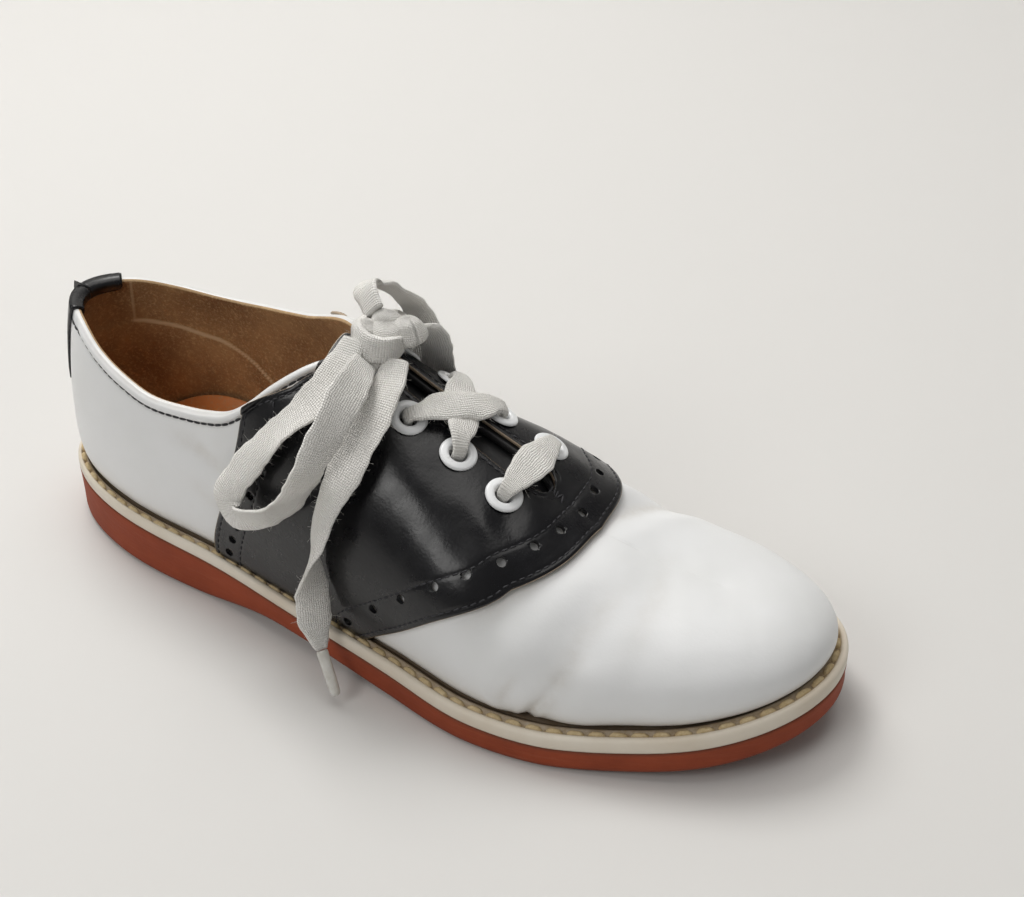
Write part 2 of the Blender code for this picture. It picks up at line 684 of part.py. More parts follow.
def eyelet_places():
    """Middle and outward axis of each eyelet, by row from the toe and by side."""
    places = {}
    for row, (along, half) in enumerate(zip(EYELETS["along"], EYELETS["half"]), 1):
        for side, label in ((OUTER, "outer"), (INNER, "inner")):
            t = float(station_of(along))
            v = np.linspace(0.3, 1, 200)
            wall = last(np.full(200, t), v, side)
            at = np.interp(-half, -np.abs(wall[:, 1] - wall[-1, 1]), v)
            e = 1e-3
            normal = np.cross(last(t + e, at, side) - last(t - e, at, side),
                              last(t, at + e, side) - last(t, at - e, side)) * -side
            places[f"eyelet_{label}_{row}"] = (last(t, at, side), normal / np.linalg.norm(normal))
    return places


def eyelets(places, pieces):
    enamel = material("white_enamel", (0.85, 0.85, 0.84), 0.25)
    seat = SADDLE_LIFT + SADDLE_WALL + GAP
    bore, barrel, flange = EYELET_BORE_R, HOLE_R - GAP, EYELET_FLANGE_R
    foot = -UPPER_WALL - EYELET_SHANK
    profile = [(bore, foot), (barrel, foot), (barrel, seat)]
    profile += [(flange - inside, seat + high) for inside, high in EYELET_RIM]
    profile += [(bore + outside, seat + high) for outside, high in EYELET_MOUTH]
    hole_points, hole_faces = [], []
    for name, (middle, axis) in places.items():
        points, faces = turned(profile, middle, axis)
        make(name, points, faces, enamel)
        points, faces = turned(((HOLE_R, -6.0), (HOLE_R, 6.0)), middle, axis)
        segments = len(points) // 2
        faces = faces[:segments] + [tuple(reversed(range(segments))), tuple(range(segments, 2 * segments))]
        hole_faces += [tuple(i + len(hole_points) for i in f) for f in faces]
        hole_points += points.tolist()
    cutter = make("eyelet_holes", hole_points, hole_faces, None)
    cutter.hide_render = True
    cutter.display_type = "WIRE"
    for piece in pieces:
        cut(piece, cutter)


def mean_way(axis_a, axis_b):
    mean = axis_a + axis_b
    return mean / np.linalg.norm(mean)


def lace_between(name, start, end, finish, lift, hump=0.0):
    """Flat lace from one eyelet's hole over the throat into another's."""
    (a, axis_a), (b, axis_b) = start, end
    seat = SADDLE_LIFT + SADDLE_WALL + GAP
    over = seat + EYELET_HIGH + GAP + LACE_THICK / 2 + lift
    low, high, turn = seat - LACE_PATH["sink"], seat + LACE_PATH["rise"], over + LACE_PATH["turn_up"]
    shoulder = mean_way(axis_a, axis_b) * (over + LACE_PATH["shoulder"] + 0.8 * hump)
    inward = (b - a) / np.linalg.norm(b - a)
    mean = mean_way(axis_a, axis_b)
    middle = (a + b) / 2 + mean * (over + LACE_PATH["arch"] + hump)
    turn_in = inward * LACE_PATH["turn_in"]
    route = np.array([
        a + axis_a * low, a + axis_a * high, a + axis_a * turn + turn_in,
        a * 0.66 + b * 0.34 + shoulder, middle, a * 0.34 + b * 0.66 + shoulder,
        b + axis_b * turn - turn_in, b + axis_b * high, b + axis_b * low])
    width_way = np.cross(mean, inward)
    narrow, thick = LACE_IN_BORE["wide"], LACE_IN_BORE["thick"]
    wide = (narrow, narrow, 5.8, 9.6, LACE_WIDE, 9.6, 5.8, narrow, narrow)
    thick = (thick, thick) + (LACE_THICK,) * 5 + (thick, thick)
    points, faces = strap(route, wide, thick, np.tile(width_way, (len(route), 1)), steps=17)
    return make(name, points, faces, finish)


def laces(places):
    cotton = material("white_cotton", (0.8, 0.79, 0.75), 0.85)
    clear = material("clear_aglet", (0.85, 0.85, 0.82), 0.2)
    lace_between("lace_bar", places["eyelet_outer_1"], places["eyelet_inner_1"], cotton, 0.0)
    cross = lace_between("lace_cross", places["eyelet_outer_3"], places["eyelet_inner_2"], cotton, 0.0, 1.3)
    under = lace_between("lace_cross_under", places["eyelet_outer_2"], places["eyelet_inner_3"], cotton, 0.5)
    join(cross, under)
    knot(places, cotton)
    bunched = (7.0,) + (LACE_WIDE,) * 13 + (7.0,)
    lace("lace_loop_outer", LOOP_OUTER, cotton, wide=bunched)
    lace("lace_loop_inner", LOOP_INNER, cotton, wide=bunched)
    twisted = (7.5,) + (LACE_WIDE,) * 4 + (7.0,) + (LACE_WIDE,) * 4 + (3.6,)
    lace("lace_end_outer", END_OUTER, cotton, wide=twisted)
    lace("lace_end_inner", END_INNER, cotton, wide=(7.0, 8.0, 9.0) + (LACE_WIDE,) * 6 + (3.6,))
    for name, ends in (("aglet_outer", AGLET_OUTER), ("aglet_inner", AGLET_INNER)):
        start, end = from_middle(ends)
        axis = (end - start) / np.linalg.norm(end - start)
        points, faces = turned(((AGLET_R, 0), (AGLET_R, float(np.linalg.norm(end - start)))), start, axis, 10)
        faces = faces[:10] + [tuple(reversed(range(10))), tuple(range(10, 20))]
        make(name, points, faces, clear)


def knot(places, finish):
    """Knot over the top eyelets, with the two strands that come up out of them."""
    rings, around = 6, 10
    middle = from_middle([KNOT_MIDDLE])[0]
    angle = np.linspace(0, 2 * math.pi, around, endpoint=False)
    points = [middle - (0, 0, KNOT_HALF[2])]
    for k in range(1, rings):
        turn = math.pi * k / rings
        ring = np.stack([np.cos(angle) * math.sin(turn), np.sin(angle) * math.sin(turn),
                         np.full(around, -math.cos(turn))], -1)
        ring = np.sign(ring) * np.abs(ring) ** 0.8
        points.extend(middle + ring * KNOT_HALF)
    points.append(middle + (0, 0, KNOT_HALF[2]))
    faces = [(0, 1 + (i + 1) % around, 1 + i) for i in range(around)]
    for k in range(rings - 2):
        for i in range(around):
            a, b = 1 + k * around + i, 1 + k * around + (i + 1) % around
            faces.append((a, b, b + around, a + around))
    top = len(points) - 1
    faces += [(1 + (rings - 2) * around + i, 1 + (rings - 2) * around + (i + 1) % around, top)
              for i in range(around)]
    lump = make("lace_knot", points, faces, finish)
    seat = SADDLE_LIFT + SADDLE_WALL + GAP
    for side in ("outer", "inner"):
        start, axis = places[f"eyelet_{side}_4"]
        inward = middle - start
        inward /= np.linalg.norm(inward)
        halfway = start + (middle - start) * STRAND["to_knot"]
        route = np.array([start + axis * (seat - LACE_PATH["sink"]), start + axis * (seat + STRAND["rise"]),
                          start + axis * (seat + STRAND["turn_up"]) + inward * STRAND["turn_in"],
                          halfway + axis * STRAND["sag_up"], middle])
        width_way = np.cross(axis, inward)
        strand, faces = strap(route, (3.0, 3.2, 5.6, 8.0, 6.0), (1.8, 1.8, 1.6, 2.0, 3.0),
                              np.tile(width_way, (5, 1)), steps=9)
        join(lump, make(f"lace_strand_{side}", strand, faces, finish))


def main():
    for old in list(bpy.data.objects):
        bpy.data.objects.remove(old)
    sole_pieces()
    pieces = [upper(), saddle()]
    tongue()
    heel_tab()
    places = eyelet_places()
    eyelets(places, pieces)
    laces(places)


main()
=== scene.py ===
import math

import bpy
import numpy as np
from mathutils import Matrix, Vector


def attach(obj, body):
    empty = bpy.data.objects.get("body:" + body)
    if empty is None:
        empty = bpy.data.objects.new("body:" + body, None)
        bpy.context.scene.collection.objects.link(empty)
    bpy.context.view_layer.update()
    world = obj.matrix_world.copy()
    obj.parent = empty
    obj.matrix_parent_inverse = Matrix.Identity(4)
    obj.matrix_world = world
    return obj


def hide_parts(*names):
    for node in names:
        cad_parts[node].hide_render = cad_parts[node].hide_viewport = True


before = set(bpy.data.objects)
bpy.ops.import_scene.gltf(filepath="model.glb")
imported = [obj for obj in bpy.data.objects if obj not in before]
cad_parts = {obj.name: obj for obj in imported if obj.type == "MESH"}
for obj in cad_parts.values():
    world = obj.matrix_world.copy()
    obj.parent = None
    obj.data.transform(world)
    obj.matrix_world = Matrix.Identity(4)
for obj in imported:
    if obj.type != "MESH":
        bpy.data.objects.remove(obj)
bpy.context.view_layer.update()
print("frame loaded with", len(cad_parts), "nodes")

mm = 0.001
outer, inner = -1, 1  # the shoe's two sides, by the sign of y
random = np.random.default_rng(7)


# Shared shape of the shoe, the same form as the solids; lengths in mm

form = {
    "length": 262.0, "heelLineY": 1.1, "gap": 0.3, "wall": 2.2,
    "heelRound": 65.8, "toeRound": 54.2, "roundPower": 2.2,
    "toeSpring": 10.3, "archLift": 4.0, "flatHeelEnd": 66.0, "archTop": 100.0,
    "flatBallStart": 160.0, "flatBallEnd": 183.4,
    # how far the ridge ends short of the edge, and over what reach
    "heelPull": (30.0, 22.0), "toePull": (36.0, 34.0),
    "throatStart": 95.0, "throatEnd": 178.0, "corner": 50.0,
    "outline": {
        "along": (0, 31, 79, 110, 144, 173, 194, 220, 241, 262),
        "middle": (0, 0, -3.1, -7.4, -5.7, -3.5, -0.9, 3.6, 5.2, 7.4),
        "half": (29.8, 30.9, 30.1, 30.6, 37.7, 44.8, 45.8, 42.9, 41.0, 39.7),
    },
    "rubber": {"along": (0, 58, 100, 131, 162, 262), "top": (16.6, 15.4, 12.2, 10.2, 8.0, 8.0)},
    "welt": {"along": (0, 90, 180, 262), "thick": (3.5, 3.9, 4.3, 4.7), "margin": (3.0, 4.0, 5.0, 5.0)},
    "ridge": {
        "along": (0, 60, 100, 117, 134, 151, 167, 185, 205, 225, 262),
        "high": (110, 107, 97, 87, 77.5, 69, 61.5, 52, 45.5, 41.5, 38),
        "aside": (0, 0, 0, -0.5, -0.5, -0.5, -0.7, -1, 1, 3.3, 5.5),
    },
    "walls": {
        "along": (0, 30, 80, 120, 160, 200, 235, 262),
        "bulgeOuter": (6, 5, 4, 5, 6.5, 7.5, 8, 8),
        "bulgeInner": (6, 6, 5, 4, 7, 6, 6.5, 8),
        "rise": (0.2, 0.3, 0.5, 0.58, 0.6, 0.55, 0.6, 0.6),
        "shoulder": (0.68, 0.77, 0.75, 0.68, 0.72, 0.57, 0.6, 0.58),
    },
    "collar": {
        "along": (0, 15, 28, 41, 53, 65, 75, 83, 90, 97, 105, 114),
        "outer": (77, 76, 71.5, 68, 65.5, 66, 67.5, 70, 75, 81.5, 87, 89.5),
        "inner": (77, 76, 73.8, 72.3, 72.8, 74.8, 76.8, 78.8, 82, 85.5, 88.5, 89.5),
    },
    "throat": {
        "along": (110, 130, 150, 166, 171, 175, 177, 178),
        "half": (3.0, 3.4, 4.2, 5.0, 4.7, 3.3, 1.9, 0),
    },
}


# A cubic between each two points of (xs, ys); the slope at a point is the mean of its neighbours' slopes.
def smoothCurve(x, xs, ys):
    xs, ys = np.asarray(xs, float), np.asarray(ys, float)
    step = np.diff(xs)
    slope = np.diff(ys) / step
    tangent = np.empty_like(xs)
    tangent[1:-1] = (slope[:-1] * step[1:] + slope[1:] * step[:-1]) / (step[:-1] + step[1:])
    tangent[0], tangent[-1] = slope[0], slope[-1]
    x = np.clip(x, xs[0], xs[-1])
    i = np.clip(np.searchsorted(xs, x, side="right") - 1, 0, len(xs) - 2)
    t = (x - xs[i]) / step[i]
    return ((2 * t**3 - 3 * t**2 + 1) * ys[i] + (t**3 - 2 * t**2 + t) * step[i] * tangent[i]
            + (3 * t**2 - 2 * t**3) * ys[i + 1] + (t**3 - t**2) * step[i] * tangent[i + 1])


# 0 before start and 1 after end, with 3t^2 - 2t^3 between.
def softStep(x, start, end):
    t = np.clip((x - start) / (end - start), 0, 1)
    return t * t * (3 - 2 * t)


# One column of a table, read as a smooth curve at a distance along.
def lookUp(table, name, at, key="along"):
    return smoothCurve(at, table[key], table[name])


def unit(vectors):
    return vectors / np.maximum(np.linalg.norm(vectors, axis=-1, keepdims=True), 1e-9)


# Distance along the sole's edge at station t, a half cosine so that stations crowd at heel and toe.
def soleX(t):
    return form["length"] * (0.5 - 0.5 * np.cos(math.pi * np.asarray(t, float)))


# Distance along the upper at station t: the same half cosine, between the margins at heel and toe.
def alongOf(t):
    heel, toe = form["welt"]["margin"][0], form["welt"]["margin"][-1]
    return heel + (form["length"] - heel - toe) * (0.5 - 0.5 * np.cos(math.pi * np.asarray(t, float)))


# Station at a distance along the upper: that half cosine turned round, an arc cosine.
def stationOf(along):
    heel, toe = form["welt"]["margin"][0], form["welt"]["margin"][-1]
    part = (np.asarray(along, float) - heel) / (form["length"] - heel - toe)
    return np.arccos(np.clip(1 - 2 * part, -1, 1)) / math.pi


# Sole edge: middle line plus or minus the half width, both ends rounded by a superellipse, moved in by inset.
def outlinePoint(t, side, inset=0.0):
    def edge(u):
        x = soleX(u)
        heel = 1 - np.clip(x / form["heelRound"], 0, 1)
        toe = 1 - np.clip((form["length"] - x) / form["toeRound"], 0, 1)
        cap = np.sqrt(np.clip(1 - heel**form["roundPower"], 0, 1))
        cap = cap * np.sqrt(np.clip(1 - toe**form["roundPower"], 0, 1))
        return x, lookUp(form["outline"], "middle", x) + side * lookUp(form["outline"], "half", x) * cap

    t = np.asarray(t, float)
    x0, y0 = edge(np.clip(t - 0.002, 0, 1))
    x1, y1 = edge(np.clip(t + 0.002, 0, 1))
    out = np.stack([-side * (y1 - y0), side * (x1 - x0)], -1)
    out = np.where((t <= 0)[..., None], (-1.0, 0.0), out)
    out = unit(np.where((t >= 1)[..., None], (1.0, 0.0), out))
    x, y = edge(t)
    return x - out[..., 0] * inset, y - out[..., 1] * inset, out


# The toe rises with the square of the distance past the ball.
def springAt(x):
    ahead = np.clip(x - form["flatBallEnd"], 0, None)
    return form["toeSpring"] * (ahead / (form["length"] - form["flatBallEnd"])) ** 2


# Underside: an arch that comes and goes by soft steps, plus the toe's rise.
def floorSide(x):
    arch = softStep(x, form["flatHeelEnd"], form["archTop"])
    arch = arch * (1 - softStep(x, form["archTop"], form["flatBallStart"]))
    return form["archLift"] * arch + springAt(x)


def rubberTop(x):
    return lookUp(form["rubber"], "top", x) + springAt(x)


def weltTop(x):
    return rubberTop(x) + form["gap"] + lookUp(form["welt"], "thick", x)


# From distance along the sole to the frame's origin, at the middle of the length.
def toFrame(points):
    return points + np.array([-form["length"] / 2, form["heelLineY"], 0])


# The last: at each station a cubic Bezier curve from the feather line up the wall and over the shoulder
# to the ridge.
def lastPoint(t, v, side):
    t, v = np.broadcast_arrays(np.asarray(t, float), np.asarray(v, float))
    edge = soleX(t)
    x, y, out = outlinePoint(t, side, lookUp(form["welt"], "margin", edge))
    along = alongOf(t)
    low = np.stack([x, y, weltTop(x) + form["gap"]], -1)
    ridgeX = (along + form["heelPull"][0] * np.exp(-along / form["heelPull"][1])
              - form["toePull"][0] * np.exp(-(form["length"] - along) / form["toePull"][1]))
    high = np.stack([ridgeX, lookUp(form["ridge"], "aside", ridgeX), lookUp(form["ridge"], "high", ridgeX)], -1)
    bulge = lookUp(form["walls"], "bulgeOuter" if side == outer else "bulgeInner", edge)
    rise = lookUp(form["walls"], "rise", edge)
    shoulder = lookUp(form["walls"], "shoulder", edge)[..., None]
    first = low + np.stack([out[..., 0] * bulge, out[..., 1] * bulge, rise * (high[..., 2] - low[..., 2])], -1)
    second = high + (low - high) * shoulder
    second[..., 2] = high[..., 2]
    v = v[..., None]
    w = 1 - v
    return toFrame(w**3 * low + 3 * w * w * v * first + 3 * w * v * v * second + v**3 * high)


# Where each row of rising values crosses its target, read between the two samples around it.
def crossing(values, target, at):
    target = np.broadcast_to(np.asarray(target, float), values.shape[:1])
    i = np.clip((values < target[:, None]).sum(1), 1, values.shape[1] - 1)
    row = np.arange(len(values))
    low, high = values[row, i - 1], values[row, i]
    part = np.clip((target - low) / np.maximum(high - low, 1e-9), 0, 1)
    return at[i - 1] + part * (at[i] - at[i - 1])


# v at the free edge: where the wall reaches the collar's height or the facing's distance from the ridge,
# whichever is lower, with the corner between them rounded by a soft minimum.
def topOf(t, side):
    t = np.asarray(t, float)
    along = alongOf(t)
    v = np.linspace(0.1, 1, 400)
    wall = lastPoint(t[:, None], v[None], side)
    collar = lookUp(form["collar"], "outer" if side == outer else "inner", soleX(t))
    height = np.maximum.accumulate(wall[..., 2], 1)
    top = np.where(along < form["collar"]["along"][-1], crossing(height, collar, v), 1.0)
    offRidge = -np.abs(wall[..., 1] - wall[:, -1:, 1])
    facing = crossing(np.maximum.accumulate(offRidge, 1), -lookUp(form["throat"], "half", along), v)
    blended = -np.log(np.exp(-form["corner"] * top) + np.exp(-form["corner"] * facing)) / form["corner"]
    top = np.where(along > form["throatStart"], blended, top)
    return np.where(along >= form["throatEnd"] - 0.01, 1.0, top)


# Meshes from arrays

# Quads between neighbouring rows and columns, closed onto themselves where asked.
def gridFaces(rows, columns, flip=False, ringRows=False, ringColumns=False):
    index = np.arange(rows * columns).reshape(rows, columns)
    if ringRows:
        index = np.concatenate([index, index[:1]], 0)
    if ringColumns:
        index = np.concatenate([index, index[:, :1]], 1)
    quads = np.stack([index[:-1, :-1], index[1:, :-1], index[1:, 1:], index[:-1, 1:]], -1).reshape(-1, 4)
    return quads[:, ::-1] if flip else quads


# Each point's normal is the sum of its faces' normals, weighted by their area.
def pointNormals(points, faces):
    a, b, c, d = (points[faces[:, k]] for k in range(4))
    normal = np.cross(c - a, d - b)
    total = np.zeros_like(points)
    for k in range(4):
        np.add.at(total, faces[:, k], normal)
    return unit(total)


# Which points are the same to a number of decimal places.
def weldIndex(points, places=3):
    _, first, inverse = np.unique(np.round(points, places), axis=0, return_index=True, return_inverse=True)
    return first, inverse.reshape(-1)


# Makes the object: points in mm, faces as one or more index arrays with a finish each,
# values and uv in point order.
def makePiece(name, points, faces, finishes, replaces=(), values=None, uv=None, sharp=None, weld=True):
    groups = faces if isinstance(faces, list) else [faces]
    points = np.asarray(points, float).reshape(-1, 3)
    first, inverse = weldIndex(points) if weld else (np.arange(len(points)),) * 2
    rows, wanted = [], []
    for k, group in enumerate(groups):
        welded = inverse[group]
        last = np.roll(welded, -1, 1)
        whole = (welded != last).all(1)
        rows += welded[whole].tolist()
        wanted += [k] * int(whole.sum())
        for row in welded[~whole].tolist():
            slim = list(dict.fromkeys(row))
            if len(slim) > 2:
                rows.append(slim)
                wanted.append(k)
    mesh = bpy.data.meshes.new(name)
    mesh.from_pydata((points[first] * mm).tolist(), [], rows)
    for finish in finishes:
        mesh.materials.append(finish)
    if len(finishes) > 1:
        mesh.polygons.foreach_set("material_index", wanted)
    for key, array in (values or {}).items():
        attribute = mesh.attributes.new(key, "FLOAT", "POINT")
        attribute.data.foreach_set("value", np.asarray(array, np.float32).reshape(-1)[first])
    if uv is not None:
        layer = mesh.uv_layers.new(name="UVMap")
        corner = np.empty(len(mesh.loops), np.int32)
        mesh.loops.foreach_get("vertex_index", corner)
        layer.data.foreach_set("uv", np.asarray(uv, np.float32).reshape(-1, 2)[first][corner].reshape(-1))
    mesh.validate()
    mesh.shade_smooth()
    if sharp:
        mesh.set_sharp_from_angle(angle=math.radians(sharp))
    piece = bpy.data.objects.new(name, mesh)
    bpy.context.scene.collection.objects.link(piece)
    if signedVolume(mesh) < 0:
        mesh.flip_normals()
    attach(piece, "root")
    if replaces:
        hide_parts(*replaces)
    return piece


# Sum over the faces of the volume to the origin, below zero where the faces point inwards.
def signedVolume(mesh):
    mesh.calc_loop_triangles()
    corner = np.empty(len(mesh.loop_triangles) * 3, np.int32)
    mesh.loop_triangles.foreach_get("vertices", corner)
    co = np.empty(len(mesh.vertices) * 3)
    mesh.vertices.foreach_get("co", co)
    a, b, c = co.reshape(-1, 3)[corner.reshape(-1, 3)].transpose(1, 0, 2)
    return float((a * np.cross(b, c)).sum())


# Cuts drilled holes with a joined cutter and keeps only the result.
def drill(piece, cutter):
    boolean = piece.modifiers.new("holes", "BOOLEAN")
    boolean.operation, boolean.object, boolean.solver = "DIFFERENCE", cutter, "EXACT"
    graph = bpy.context.evaluated_depsgraph_get()
    cutMesh = bpy.data.meshes.new_from_object(piece.evaluated_get(graph))
    piece.modifiers.clear()
    old, piece.data = piece.data, cutMesh
    bpy.data.meshes.remove(old)


# Finishes

# A shader node with its inputs set, or linked where a socket is given.
def addNode(tree, kind, inputs=None, **settings):
    node = tree.nodes.new("ShaderNode" + kind)
    for key, value in settings.items():
        setattr(node, key, value)
    for key, value in (inputs or {}).items():
        if isinstance(value, bpy.types.NodeSocket):
            tree.links.new(value, node.inputs[key])
        else:
            node.inputs[key].default_value = value
    return node


class Finish:
    # A material with its Principled shader, and short ways to the nodes that all of them use.
    def __init__(self, name, roughness=0.5, **constants):
        self.material = bpy.data.materials.new(name)
        self.material.use_nodes = True
        self.tree = self.material.node_tree
        self.shader = self.tree.nodes["Principled BSDF"]
        self.shader.inputs["Roughness"].default_value = roughness
        for key, value in constants.items():
            self.shader.inputs[key].default_value = value
        self.place = addNode(self.tree, "TexCoord").outputs["Object"]

    def noise(self, scale, detail=3.0, rough=0.5, stretch=None, vector=None):
        vector = vector or self.place
        if stretch:
            vector = addNode(self.tree, "Mapping", {"Vector": vector, "Scale": stretch}).outputs[0]
        return addNode(self.tree, "TexNoise", {"Vector": vector, "Scale": scale, "Detail": detail,
                                               "Roughness": rough}).outputs["Fac"]

    def cells(self, scale, feature="F1"):
        return addNode(self.tree, "TexVoronoi", {"Vector": self.place, "Scale": scale},
                       feature=feature).outputs["Distance"]

    def ramp(self, value, low, high, start=0.0, end=1.0):
        return addNode(self.tree, "MapRange", {"Value": value, "From Min": low, "From Max": high,
                                               "To Min": start, "To Max": end}).outputs[0]

    def math(self, operation, a, b=0.0):
        return addNode(self.tree, "Math", {0: a, 1: b}, operation=operation).outputs[0]

    def value(self, name):
        return addNode(self.tree, "Attribute", attribute_name=name).outputs["Fac"]

    def mix(self, amount, a, b):
        return addNode(self.tree, "Mix", {0: amount, 6: a, 7: b}, data_type="RGBA").outputs[2]

    def colour(self, socket):
        self.tree.links.new(socket, self.shader.inputs["Base Color"])

    def rough(self, socket):
        self.tree.links.new(socket, self.shader.inputs["Roughness"])

    def bump(self, height, distance, strength=1.0):
        chain = {"Height": height, "Distance": distance, "Strength": strength}
        linked = self.shader.inputs["Normal"].links
        if linked:
            chain["Normal"] = linked[0].from_socket
        node = addNode(self.tree, "Bump", chain)
        self.tree.links.new(node.outputs[0], self.shader.inputs["Normal"])


def rgba(r, g, b):
    return (r, g, b, 1.0)


def whiteLeather():
    f = Finish("whiteLeather", 0.4, **{"Coat Weight": 0.25, "Coat Roughness": 0.28})
    cloudy = f.ramp(f.noise(38, 4), 0.4, 0.75)
    base = f.mix(cloudy, rgba(0.83, 0.84, 0.85), rgba(0.79, 0.80, 0.80))
    # Painted shade in the white: brown-grey where the mask is high, in the crease troughs and along the wall's
    # foot by the welt; also darker at the collar seam and rim, broken up by noise.
    grimeAndShade = f.math("MULTIPLY", f.value("grimeAndShade"), f.ramp(f.noise(160, 5, 0.7), 0.35, 0.65, 0.35, 1.0))
    f.colour(f.mix(grimeAndShade, base, rgba(0.52, 0.47, 0.40)))
    f.rough(f.ramp(f.noise(90, 3), 0.3, 0.7, 0.34, 0.5))
    f.bump(f.noise(1500, 3), 0.00006, 0.35)
    f.bump(f.noise(240, 3), 0.00025, 0.25)
    return f.material


def blackLeather():
    f = Finish("blackLeather", 0.3, **{"Coat Weight": 0.12, "Coat Roughness": 0.16, "Specular IOR Level": 0.42})
    dusty = f.ramp(f.noise(70, 5, 0.65), 0.52, 0.8, 0.0, 0.5)
    base = f.mix(dusty, rgba(0.0035, 0.0035, 0.005), rgba(0.013, 0.013, 0.016))
    raw = f.ramp(f.value("raw"), 0.35, 0.65)
    f.colour(f.mix(raw, base, rgba(0.42, 0.33, 0.24)))
    f.rough(f.ramp(f.noise(120, 4, 0.6), 0.3, 0.75, 0.22, 0.38))
    f.bump(f.cells(1100), 0.00005, 0.4)
    f.bump(f.noise(420, 4, 0.6), 0.00016, 0.35)
    f.bump(f.noise(60, 3), 0.0006, 0.22)
    return f.material


def suedeLining():
    f = Finish("suedeLining", 0.95, **{"Sheen Weight": 0.35, "Sheen Roughness": 0.5,
                                       "Sheen Tint": rgba(0.75, 0.55, 0.35)})
    patch = f.ramp(f.noise(55, 5, 0.6), 0.35, 0.7)
    base = f.mix(patch, rgba(0.40, 0.235, 0.10), rgba(0.21, 0.105, 0.038))
    speck = f.ramp(f.noise(1000, 5, 0.8), 0.5, 0.7)
    base = f.mix(speck, base, rgba(0.60, 0.40, 0.20))
    f.colour(f.mix(f.ramp(f.value("seam"), 0.3, 0.8), base, rgba(0.62, 0.46, 0.28)))
    f.bump(f.noise(900, 5, 0.75), 0.0004, 0.8)
    f.bump(f.noise(150, 4, 0.6), 0.0012, 0.35)
    return f.material


def tanInsole():
    f = Finish("tanInsole", 0.5, **{"Coat Weight": 0.1, "Coat Roughness": 0.4})
    worn = f.ramp(f.noise(45, 5, 0.6), 0.3, 0.7)
    base = f.mix(worn, rgba(0.78, 0.30, 0.09), rgba(0.62, 0.23, 0.07))
    f.colour(f.mix(f.ramp(f.noise(900, 3, 0.7), 0.5, 0.72), base, rgba(0.66, 0.34, 0.15)))
    f.bump(f.noise(700, 4), 0.0002, 0.4)
    return f.material


def redRubber():
    f = Finish("redRubber", 0.7, **{"Specular IOR Level": 0.3})
    mottled = f.ramp(f.noise(60, 5, 0.6), 0.35, 0.7)
    base = f.mix(mottled, rgba(0.33, 0.062, 0.022), rgba(0.255, 0.046, 0.016))
    streaks = f.ramp(f.noise(60, 4, 0.7, stretch=(1.0, 1.0, 22.0)), 0.55, 0.75, 0.0, 0.35)
    base = f.mix(streaks, base, rgba(0.42, 0.12, 0.06))
    # Darker by the mask: dirt at the bottom edge and painted shade in the joint under the welt.
    f.colour(f.mix(f.value("grimeAndShade"), base, rgba(0.13, 0.055, 0.035)))
    f.bump(f.noise(1100, 3), 0.0001, 0.6)
    f.bump(f.noise(200, 3, stretch=(1.0, 1.0, 5.0)), 0.0004, 0.3)
    return f.material


def creamWelt():
    f = Finish("creamWelt", 0.5, **{"Coat Weight": 0.1, "Coat Roughness": 0.35})
    base = f.mix(f.ramp(f.noise(50, 4), 0.35, 0.7), rgba(0.80, 0.735, 0.63), rgba(0.72, 0.635, 0.515))
    dirt = f.math("MULTIPLY", f.value("groove"), f.ramp(f.noise(300, 5, 0.7), 0.3, 0.6, 0.55, 1.0))
    base = f.mix(dirt, base, rgba(0.33, 0.235, 0.125))
    # Painted shade: darker by the shade value, in the gap under the upper and along the bottom edge.
    f.colour(f.mix(f.ramp(f.value("shade"), 0.0, 1.0, 0.0, 0.7), base, rgba(0.15, 0.105, 0.07)))
    f.bump(f.noise(800, 3), 0.00012, 0.5)
    f.bump(f.noise(120, 3), 0.0005, 0.25)
    return f.material


def threadFinish(name, colour, dark, roughness, pitch):
    f = Finish(name, roughness)
    f.colour(f.mix(f.ramp(f.noise(pitch, 4, 0.7), 0.35, 0.7), colour, dark))
    f.bump(f.noise(pitch * 4, 3), 0.00012, 0.7)
    return f.material


def cottonLace():
    f = Finish("cottonLace", 0.9, **{"Sheen Weight": 0.25, "Sheen Roughness": 0.5})
    split = addNode(f.tree, "SeparateXYZ", {0: addNode(f.tree, "UVMap", uv_map="UVMap").outputs[0]})
    across, down = split.outputs[0], split.outputs[1]
    wobble = f.ramp(f.noise(420, 3, 0.6), 0.2, 0.8, -1.6, 1.6)
    first = f.math("ADD", f.math("MULTIPLY", f.math("ADD", across, down), 4.6), wobble)
    second = f.math("ADD", f.math("MULTIPLY", f.math("SUBTRACT", across, down), 4.6), wobble)
    weave = f.math("MULTIPLY", f.math("SINE", first), f.math("SINE", second))
    fine = f.noise(2600, 3, 0.7)
    base = f.mix(f.ramp(weave, -0.9, 0.6), rgba(0.83, 0.81, 0.765), rgba(0.98, 0.97, 0.945))
    base = f.mix(f.ramp(f.noise(90, 4, 0.6), 0.45, 0.8, 0.0, 0.3), base, rgba(0.70, 0.67, 0.60))
    f.colour(f.mix(f.ramp(fine, 0.35, 0.6, 0.25, 0.0), base, rgba(0.72, 0.69, 0.63)))
    f.bump(weave, 0.00026, 0.8)
    f.bump(fine, 0.0002, 0.7)
    return f.material


def whiteEnamel():
    f = Finish("whiteEnamel", 0.28, **{"Coat Weight": 0.4, "Coat Roughness": 0.12})
    f.colour(f.mix(f.ramp(f.noise(500, 4, 0.7), 0.6, 0.75, 0.0, 0.6), rgba(0.83, 0.845, 0.86),
                   rgba(0.62, 0.62, 0.60)))
    f.bump(f.noise(900, 2), 0.00005, 0.3)
    return f.material


